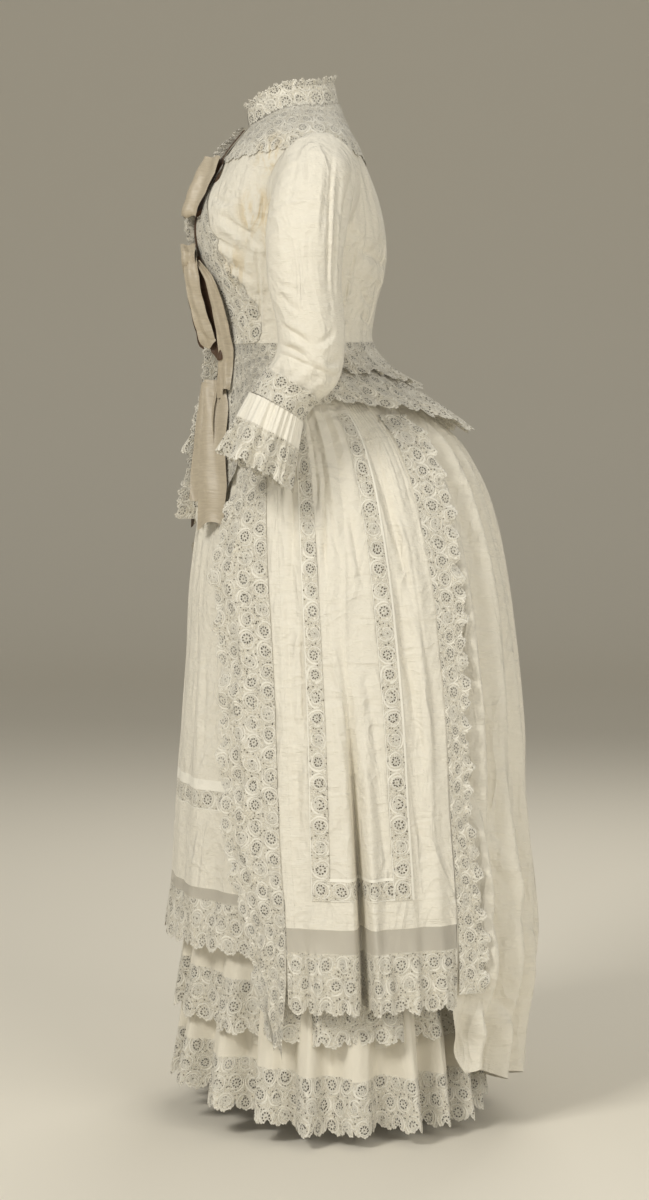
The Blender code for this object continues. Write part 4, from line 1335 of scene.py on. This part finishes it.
def gathers(angle, height):
    # narrow gathers where the side panels join the waistband, each its own length
    values = {"from": 102.8, "to": 115.6, "count": 9, "depth": 0.0042, "top": 1.02}
    total = np.zeros(np.broadcast(angle, height).shape)
    for i in range(values["count"]):
        place = values["from"] + (values["to"] - values["from"]) * (i + 0.5) / values["count"]
        ends = 0.8 + 0.07 * math.sin(i * 2.4) + 0.03 * math.cos(i * 5.1)
        lean = place + (0.2 + 0.12 * i) * ease(-height, -values["top"], -ends)
        grown = ease(height, ends, 0.97) * ease(values["top"] + 0.004 - height, 0, 0.006)
        deep = values["depth"] * (1 + 0.35 * math.sin(i * 1.7))
        total = total - deep * grown * np.exp(-np.abs(angle - lean) / 0.42)
    return total


def foldDepth(angle, height):
    signed = (angle + 180) % 360 - 180
    total = 0 * signed
    for i in range(len(overskirtFolds["fold"])):
        fold = {name: values[i] for name, values in overskirtFolds.items()}
        grown = ease(-height, -fold["starts"], -fold["full"])
        middle = fold["topAngle"] + (fold["hemAngle"] - fold["topAngle"]) * grown
        total = total + fold["depth"] * grown * np.exp(-(((signed - middle) / fold["halfWidth"]) ** 2))
    away = np.abs(signed)
    gather = along(drapeGather, "depth", height) * ease(away, 118, 126)
    phase = 2 * math.pi * 10 * (angle - 116) / 128
    total = total + gather * np.sin(phase + 0.7 * np.sin(angle / 9) + 2.0 * (1 - height))
    onSide = ease(np.abs(away - 57), 0.6, 3.5)
    calm = onSide * ease(1.018 - height, 0, 0.03)
    mirroredAway = np.where(signed < 0, away * 1.012 + 0.6 * np.sin(height * 9), away)
    total = total + calm * creases(mirroredAway, height, skirtCreases, skirtScale)
    return total + gathers(mirroredAway, height)


def overskirt(angle, height):
    out = levelOut(overskirtRings, angle, height)
    return levelRing(overskirtRings, angle, height) + out * foldDepth(angle, height)[..., None]


def joinShift(angle, height):
    shift = along(cascadeEdges, "join", height) - 57
    return angle + np.sign(angle) * shift * np.clip((71 - np.abs(angle)) / 14, 0, 1)


def underskirt(angle, height):
    return levelRing(underskirtRings, angle, height)


def makeWaistband(plain):
    def ring(angle, height):
        return ringPoints(angle, -0.105, 0.0, 0.1025, 0.11, height)

    rows = evenly(dress["waistbandBottom"], dress["waistbandTop"], 5)
    piece = makeSheet("waistband", ring, evenly(180, 540, 120), rows, plain)
    sewOn(piece, "skirt_waistband", "stretched")


def makeUnderskirt(plain):
    rows = evenly(0.1, dress["waistbandBottom"], 60)
    for name, start in (("Front", -90), ("Back", 90)):
        piece = makeSheet("underskirt" + name, underskirt, evenly(start, start + 180, 60), rows, plain)
        sewOn(piece, "underskirt_" + name.lower(), "hung", "waistband")


flounces = {
    "lower": {
        "hang": table(
            "height lift depth",
            (0.225, 0.003, 0.001),
            (0.15, 0.0095, 0.01),
            (0.02, 0.02, 0.021),
        ),
        "waves": 21,
        "hem": 0.012,
        "top": 0.225,
        "dip": 0.022,
    },
    "upper": {
        "hang": table(
            "height lift depth",
            (0.36, 0.0022, 0.0006),
            (0.225, 0.014, 0.006),
            (0.125, 0.0262, 0.011),
        ),
        "waves": 19,
        "hem": 0.117,
        "top": 0.36,
        "dip": 0.008,
    },
}


def makeFlounce(kind, lace):
    values = flounces[kind]

    def fluted(angle, height):
        drift = 1.5 * np.sin(np.radians(angle * 3)) + 1.1 * np.sin(np.radians(angle * 5 + 40))
        phase = np.radians(angle * values["waves"]) + drift
        wave = np.tanh(1.7 * np.sin(phase))
        size = 0.95 + 0.5 * np.sin(np.radians(angle * 4 + 70)) * np.sin(np.radians(angle * 7))
        around = (angle + 180) % 360 - 180
        size = size + 0.45 * np.exp(-(((np.abs(around) - 118) / 20) ** 2))
        grown = ease(values["top"] - height, 0, values["top"] - values["hem"])
        small = 0.16 * np.sin(2.3 * phase + 9 * height) * (1 - grown) + 0.1 * np.sin(3.1 * phase)
        deep = along(values["hang"], "depth", height) * (wave + small) * size
        out = along(values["hang"], "lift", height) + deep
        under = ease(height, values["hem"] + 0.02, values["top"])
        pleat = 0.0016 * np.abs(np.sin(np.radians(angle * 62) + 2 * drift)) * under
        normal = levelOut(underskirtRings, angle, height)
        moved = levelRing(underskirtRings, angle, height) + normal * (out + pleat)[..., None]
        moved[..., 2] += 0.0016 * grown * np.sin(np.radians(angle * 7) + 1.0)
        # the hem rides up a little at the front and dips at the sides
        ahead = np.cos(np.radians(angle))
        moved[..., 2] += grown * values["dip"] * (np.where(ahead > 0, 1.7 * ahead**2, 0) - 1)
        return moved

    rows = evenly(values["hem"], values["top"], 40)
    count = values["waves"] * 17
    for name, start in (("Front", -90), ("Back", 90)):
        piece = makeSheet(kind + "Flounce" + name, fluted, evenly(start, start + 180, count), rows, lace)
        sewOn(piece, kind + "_flounce_" + name.lower(), "gathered", "underskirt" + name)


def makeApron(plain, insertionLace, borderLace):
    values = {"insertion": (0.41, 0.45), "border": 0.305, "hem": 0.222}

    def panel(u, height):
        edge = along(cascadeEdges, "join", height)
        return overskirt(u * edge, height)

    def border(u, height):
        low = ease(-height, -0.3, -0.222)
        ring = levelOut(overskirtRings, u * 55, height)
        free = 1 - ease(np.abs(u), 0.55, 0.8)
        flare = low * free * (0.005 + 0.005 * np.sin(u * 15) + 0.0024 * np.sin(u * 34 + 1))
        return panel(u, height) + ring * flare[..., None]

    columns = evenly(-1, 1, 150)
    low, high = values["insertion"]
    for part, surface, start, end, count, cloth in (
        ("Upper", panel, high, dress["waistbandBottom"], 150, plain),
        ("Insertion", panel, low, high, 10, insertionLace),
        ("Lower", panel, values["border"], low, 24, plain),
        ("Border", border, values["hem"], values["border"], 22, borderLace),
    ):
        piece = makeSheet("apron" + part, surface, columns, evenly(start, end, count), cloth)
        sewOn(piece, "apron_" + part.lower(), "hung", "waistband")


def makeSidePanel(side, plain, insertionLace, borderLace):
    values = {"bottom": 0.268, "hem": 0.155, "front": 57.0, "back": 116.0}
    name, node = sideName(side), nodeSide(side)

    def panel(angle, height):
        return overskirt(joinShift(side * angle, height), height)

    def plainForm(angle, height):
        return levelRing(overskirtRings, joinShift(side * angle, height), height)

    def onPanel(angle, height):
        return panel(angle, height) + outward(plainForm, angle, height, side) * dress["laidOn"]

    columns = evenly(values["front"], values["back"], 160)
    rows = evenly(values["bottom"], dress["waistbandBottom"], 180)
    piece = makeSheet("sidePanel" + name, panel, columns, rows, plain, side)
    sewOn(piece, "side_panel_" + node, "hung", "waistband")

    def border(angle, height):
        moved = panel(angle, height)
        low = ease(values["bottom"] - height, 0, 0.1)
        free = ease(angle, values["front"], values["front"] + 5) * ease(values["back"] - angle, 0, 4)
        flare = low * free * (0.0046 * np.sin(angle * 0.62 + 1) + 0.0024 * np.sin(angle * 1.5))
        out = flare + 0.004 * low * free
        return moved + levelOut(overskirtRings, side * angle, height) * out[..., None]

    columns = evenly(values["front"], values["back"] - 0.2, 170)
    rows = evenly(values["hem"], values["bottom"], 30)
    piece = makeSheet("sideBorder" + name, border, columns, rows, borderLace, side)
    sewOn(piece, "side_border_" + node, "hung", "sidePanel" + name)
    legs = (
        ("insertionFront", 69.4, 76.0, 0.305, 0.94, "start", 12, 120),
        ("insertionBack", 95.8, 102.2, 0.305, 0.94, "start", 12, 120),
        ("insertionFoot", 76.0, 95.8, 0.305, 0.335, "bottom", 40, 8),
    )
    for legName, start, end, low, high, edge, wide, tall in legs:
        columns, rows = evenly(start, end, wide), evenly(low, high, tall)
        piece = makeSheet(legName + name, onPanel, columns, rows, insertionLace, side, edge)
        sewOn(piece, "side_insertion_" + node, "laid", "sidePanel" + name)


def makeCascade(side, lace):
    values = {
        "bottom": 0.105,
        "top": 0.88,
        "fold": 0.56,
        "lift": 0.013,
        "wave": 0.0034,
        "ridge": 0.0052,
        "tail": 0.03,
    }
    name = sideName(side)

    def flounce(share, height):
        join = along(cascadeEdges, "join", height)
        uneven = 0.7 * np.sin(height * 75 + side)
        free = along(cascadeEdges, "free", height) + uneven + 0.4 * np.sin(height * 151)
        # it narrows to its rounded lower end
        tail = ease(height, values["bottom"], 0.215)
        join = join - 2.4 * (1 - tail)
        free = free + (join - free) * 0.45 * (1 - tail)
        angle = join + (free - join) * share
        wave = np.sin(height * 78 + side * 0.8) + 0.6 * np.sin(height * 131 + 2 * share)
        pressed = 1 - 0.7 * ease(height, 0.78, 0.86)
        rise = share * 0.75 + 0.35 * share * share
        stand = rise * values["lift"] + share**2 * values["wave"] * wave
        lift = dress["laidOn"] + 0.0004 + stand * pressed
        # a folded ridge runs down it, with small uneven breaks
        ridge = np.exp(-np.abs(share - values["fold"] - 0.07 * np.sin(height * 37)) / 0.09)
        lift = lift + values["ridge"] * ridge * (1 + 0.4 * np.sin(height * 92)) * pressed
        base = overskirt(side * (join + 0 * share), height)
        ahead = levelRing(overskirtRings, side * angle, height)
        start = levelRing(overskirtRings, side * join, height)
        out = levelOut(overskirtRings, side * angle, height)
        moved = base + (ahead - start) + out * lift[..., None]
        low = 1 - ease(height, values["bottom"], 0.24)
        moved[..., 2] += low * (values["tail"] * share - 0.012 + 0.01 * np.abs(np.sin(share * 6.2)))
        return moved

    rows = evenly(values["bottom"], values["top"], 330)
    piece = makeSheet("cascade" + name, flounce, evenly(0.012, 1, 44), rows, lace, -side, edge="end")
    sewOn(piece, "cascade_" + nodeSide(side), "hung", "sidePanel" + name)


def makeBackEdging(side, lace):
    values = {
        "bottom": 0.175,
        "top": 0.94,
        "join": 116,
        "frillFrom": 0.55,
        "waves": 225,
        "lift": 0.012,
        "frillLift": 0.005,
        "frillRipple": 0.0036,
    }
    name = sideName(side)

    def flounce(share, height):
        # flat at first, then a gathered frill that stands off the drape
        frill = ease(share, values["frillFrom"], 1)
        wave = np.sin(height * values["waves"] + side) + 0.7 * np.sin(height * 131 + 1)
        wave = wave + 0.4 * np.sin(height * 57)
        free = along(backEdgingEdges, "free", height) + 0.5 * np.sin(height * 55 + side)
        angle = values["join"] + (free - values["join"]) * share + 0.42 * frill * wave
        ripple = np.sin(height * values["waves"] + side + 1.4) + 0.6 * np.sin(height * 131 + 2.2)
        stand = frill * (values["frillLift"] + values["frillRipple"] * ripple)
        lift = dress["laidOn"] + 0.0004 + share * values["lift"] + stand
        out = levelOut(overskirtRings, side * angle, height)
        return levelRing(overskirtRings, side * angle, height) + out * lift[..., None]

    rows = evenly(values["bottom"], values["top"], 330)
    piece = makeSheet("backEdging" + name, flounce, evenly(0.03, 1, 30), rows, lace, side, edge="end")
    sewOn(piece, "back_edging_" + nodeSide(side), "hung", "sidePanel" + name)


def makeBackDrape(plain):
    values = {"bottom": 0.04, "tuck": 0.018, "swing": 0.004}

    def drape(u, height):
        edge = 116.04 + 70 * np.clip(0.155 - height, 0, 1)
        angle = edge + (360 - 2 * edge) * u
        tucked = values["tuck"] * ease(-height, -0.24, -0.04)
        swung = values["swing"] * ease(-height, -0.5, -0.1) * np.sin(np.radians(angle * 5) + 9 * height)
        out = (swung - tucked)[..., None]
        moved = overskirt(angle, height) + levelOut(overskirtRings, angle, height) * out
        low = ease(-height, -0.16, -0.04)
        moved[..., 2] += low * (0.01 + 0.016 * np.sin(u * 13 + 1) + 0.008 * np.sin(u * 31))
        return moved

    rows = evenly(values["bottom"], dress["waistbandBottom"], 180)
    piece = makeSheet("backDrape", drape, evenly(0, 1, 250), rows, plain)
    sewOn(piece, "back_drape", "gathered", "waistband")


# Studio: the camera stands 3.8 m to the wearer's left and a little ahead
studio = {
    "azimuth": 81.0,
    "distance": 3.8,
    "height": 0.894,
    "pitch": 3.15,
    "shiftRight": 0.038,
    "lens": 82.3,
    "floorHeight": -0.024,
    "wallDistance": 7.5,
    "wallCurve": 2.0,
    "paperAhead": 14.0,
    "paperLength": 34.0,
    "paperWidth": 40.0,
    "paperColour": (0.85, 0.805, 0.705, 1),
    "paperRoughness": 0.9,
    "airColour": (1.0, 0.975, 0.905, 1),
    "airStrength": 0.28,
    "lampColour": (1.0, 0.972, 0.905),
    "lampAim": (0, 0.05, -0.6),
}
softboxes = {  # place, size and power
    "keySoftbox": ((2.5, -2.5, 1.7), 1.1, 92.0),
    "fillSoftbox": ((3.4, 1.6, 0.4), 2.2, 47.0),
    "rearSoftbox": ((-2.6, 1.2, 1.6), 1.6, 36.0),
}


def makeStudio():
    values = studio
    floorZ = -dress["shoulderHeight"] + values["floorHeight"]
    turn = math.radians(values["azimuth"])
    camera = bpy.data.objects.new("camera", bpy.data.cameras.new("camera"))
    bpy.context.scene.collection.objects.link(camera)
    camera.data.sensor_fit = "VERTICAL"
    camera.data.sensor_height = 36.0
    camera.data.lens = values["lens"]
    away = np.array([math.sin(turn), -math.cos(turn), 0]) * values["distance"]
    right = np.array([math.cos(turn), math.sin(turn), 0]) * values["shiftRight"]
    camera.location = (*(away + right)[:2], values["height"] - dress["shoulderHeight"])
    camera.rotation_euler = (math.radians(90 - values["pitch"]), 0, turn)
    bpy.context.scene.camera = camera

    sweep = bmesh.new()
    bmesh.ops.create_grid(sweep, x_segments=2, y_segments=60, size=0.5)
    wall, curve = values["wallDistance"], values["wallCurve"]
    for vertex in sweep.verts:
        share = vertex.co.y + 0.5
        out = share * values["paperLength"] - values["paperAhead"]
        bend = max(0.0, out - wall)
        turnUp = min(bend / curve, math.pi / 2)
        back = min(out, wall) + curve * math.sin(turnUp)
        up = curve * (1 - math.cos(turnUp)) + max(0.0, bend - curve * math.pi / 2)
        side = vertex.co.x * values["paperWidth"]
        vertex.co = (
            -back * math.sin(turn) + side * math.cos(turn),
            back * math.cos(turn) + side * math.sin(turn),
            floorZ + up,
        )
    bmesh.ops.recalc_face_normals(sweep, faces=sweep.faces[:])
    mesh = bpy.data.meshes.new("backdrop")
    sweep.to_mesh(mesh)
    sweep.free()
    mesh.shade_smooth()
    paper = bpy.data.materials.new("backdropPaper")
    paper.use_nodes = True
    shader = paper.node_tree.nodes["Principled BSDF"]
    shader.inputs["Base Color"].default_value = values["paperColour"]
    shader.inputs["Roughness"].default_value = values["paperRoughness"]
    mesh.materials.append(paper)
    backdrop = bpy.data.objects.new("backdrop", mesh)
    bpy.context.scene.collection.objects.link(backdrop)

    world = bpy.data.worlds.new("studioAir")
    world.use_nodes = True
    air = world.node_tree.nodes["Background"]
    air.inputs["Color"].default_value = values["airColour"]
    air.inputs["Strength"].default_value = values["airStrength"]
    bpy.context.scene.world = world
    bpy.context.scene.view_settings.view_transform = "Standard"
    for name, (place, size, power) in softboxes.items():
        light = bpy.data.lights.new(name, "AREA")
        light.shape = "SQUARE"
        light.size = size
        light.energy = power
        light.color = values["lampColour"]
        lamp = bpy.data.objects.new(name, light)
        lamp.location = place
        aim = np.array(values["lampAim"]) - np.array(place)
        yaw = math.atan2(aim[1], aim[0])
        tilt = math.atan2(aim[2], math.hypot(aim[0], aim[1]))
        lamp.rotation_euler = (math.pi / 2 + tilt, 0, yaw - math.pi / 2)
        bpy.context.scene.collection.objects.link(lamp)


eyeletGroup = makeEyeletGroup()
stainPlaces = []
for spotAngle, spotLevel, spotRadius, spotStrength in zip(*stains.values()):
    spot = torso(np.array([spotAngle]), np.array([spotLevel]))[0]
    stainPlaces.append(((spot[0], spot[1], spot[2] - dress["shoulderHeight"]), spotRadius, spotStrength))
wearGroup = makeWearGroup(stainPlaces)
lawn = makeLawn(wearGroup)
hemmedLawn = makeLawn(wearGroup, "hemmedLawn", ((0, 0.012), (1, 0.009)))
# the cream ribbons get painted shade brown on their back faces
satinRibbon = makeSatin("creamSatin", clothColours["ribbon"], clothColours["paintedShadeBrown"])
# a dark brown strip that paints the shadow under the standing front edging
frontShadowSatin = makeSatin("frontShadowSatin", clothColours["paintedShadeBrown"], clothColours["paintedShadeBrown"])
lace = {name.removeprefix("eyelet").lower(): makeLace(name, wearGroup, eyeletGroup) for name in laces}
print("materials ready")

for side in (1, -1):
    makeBodice(side, lawn, lace["edging"], lace["yoke"])
    makePeplum(side, lace["edging"])
    makeSleeve(side, lawn, lace["narrow"], lace["ruffle"])
    makeFrontEdging(side, lace["narrow"], frontShadowSatin)
    makeRibbons(side, satinRibbon)
makeCollar(lace["narrow"], lace["narrow"])
print("jacket ready")

makeWaistband(lawn)
makeUnderskirt(lawn)
for flounceKind in flounces:
    makeFlounce(flounceKind, lace["flounce"])
makeApron(lawn, lace["insertion"], lace["apron"])
for side in (1, -1):
    makeSidePanel(side, hemmedLawn, lace["insertion"], lace["border"])
    makeCascade(side, lace["cascade"])
    makeBackEdging(side, lace["frill"])
makeBackDrape(lawn)
print("skirt ready,", 2 * sum(len(mesh.polygons) for mesh in bpy.data.meshes), "triangles in all")

makeStudio()
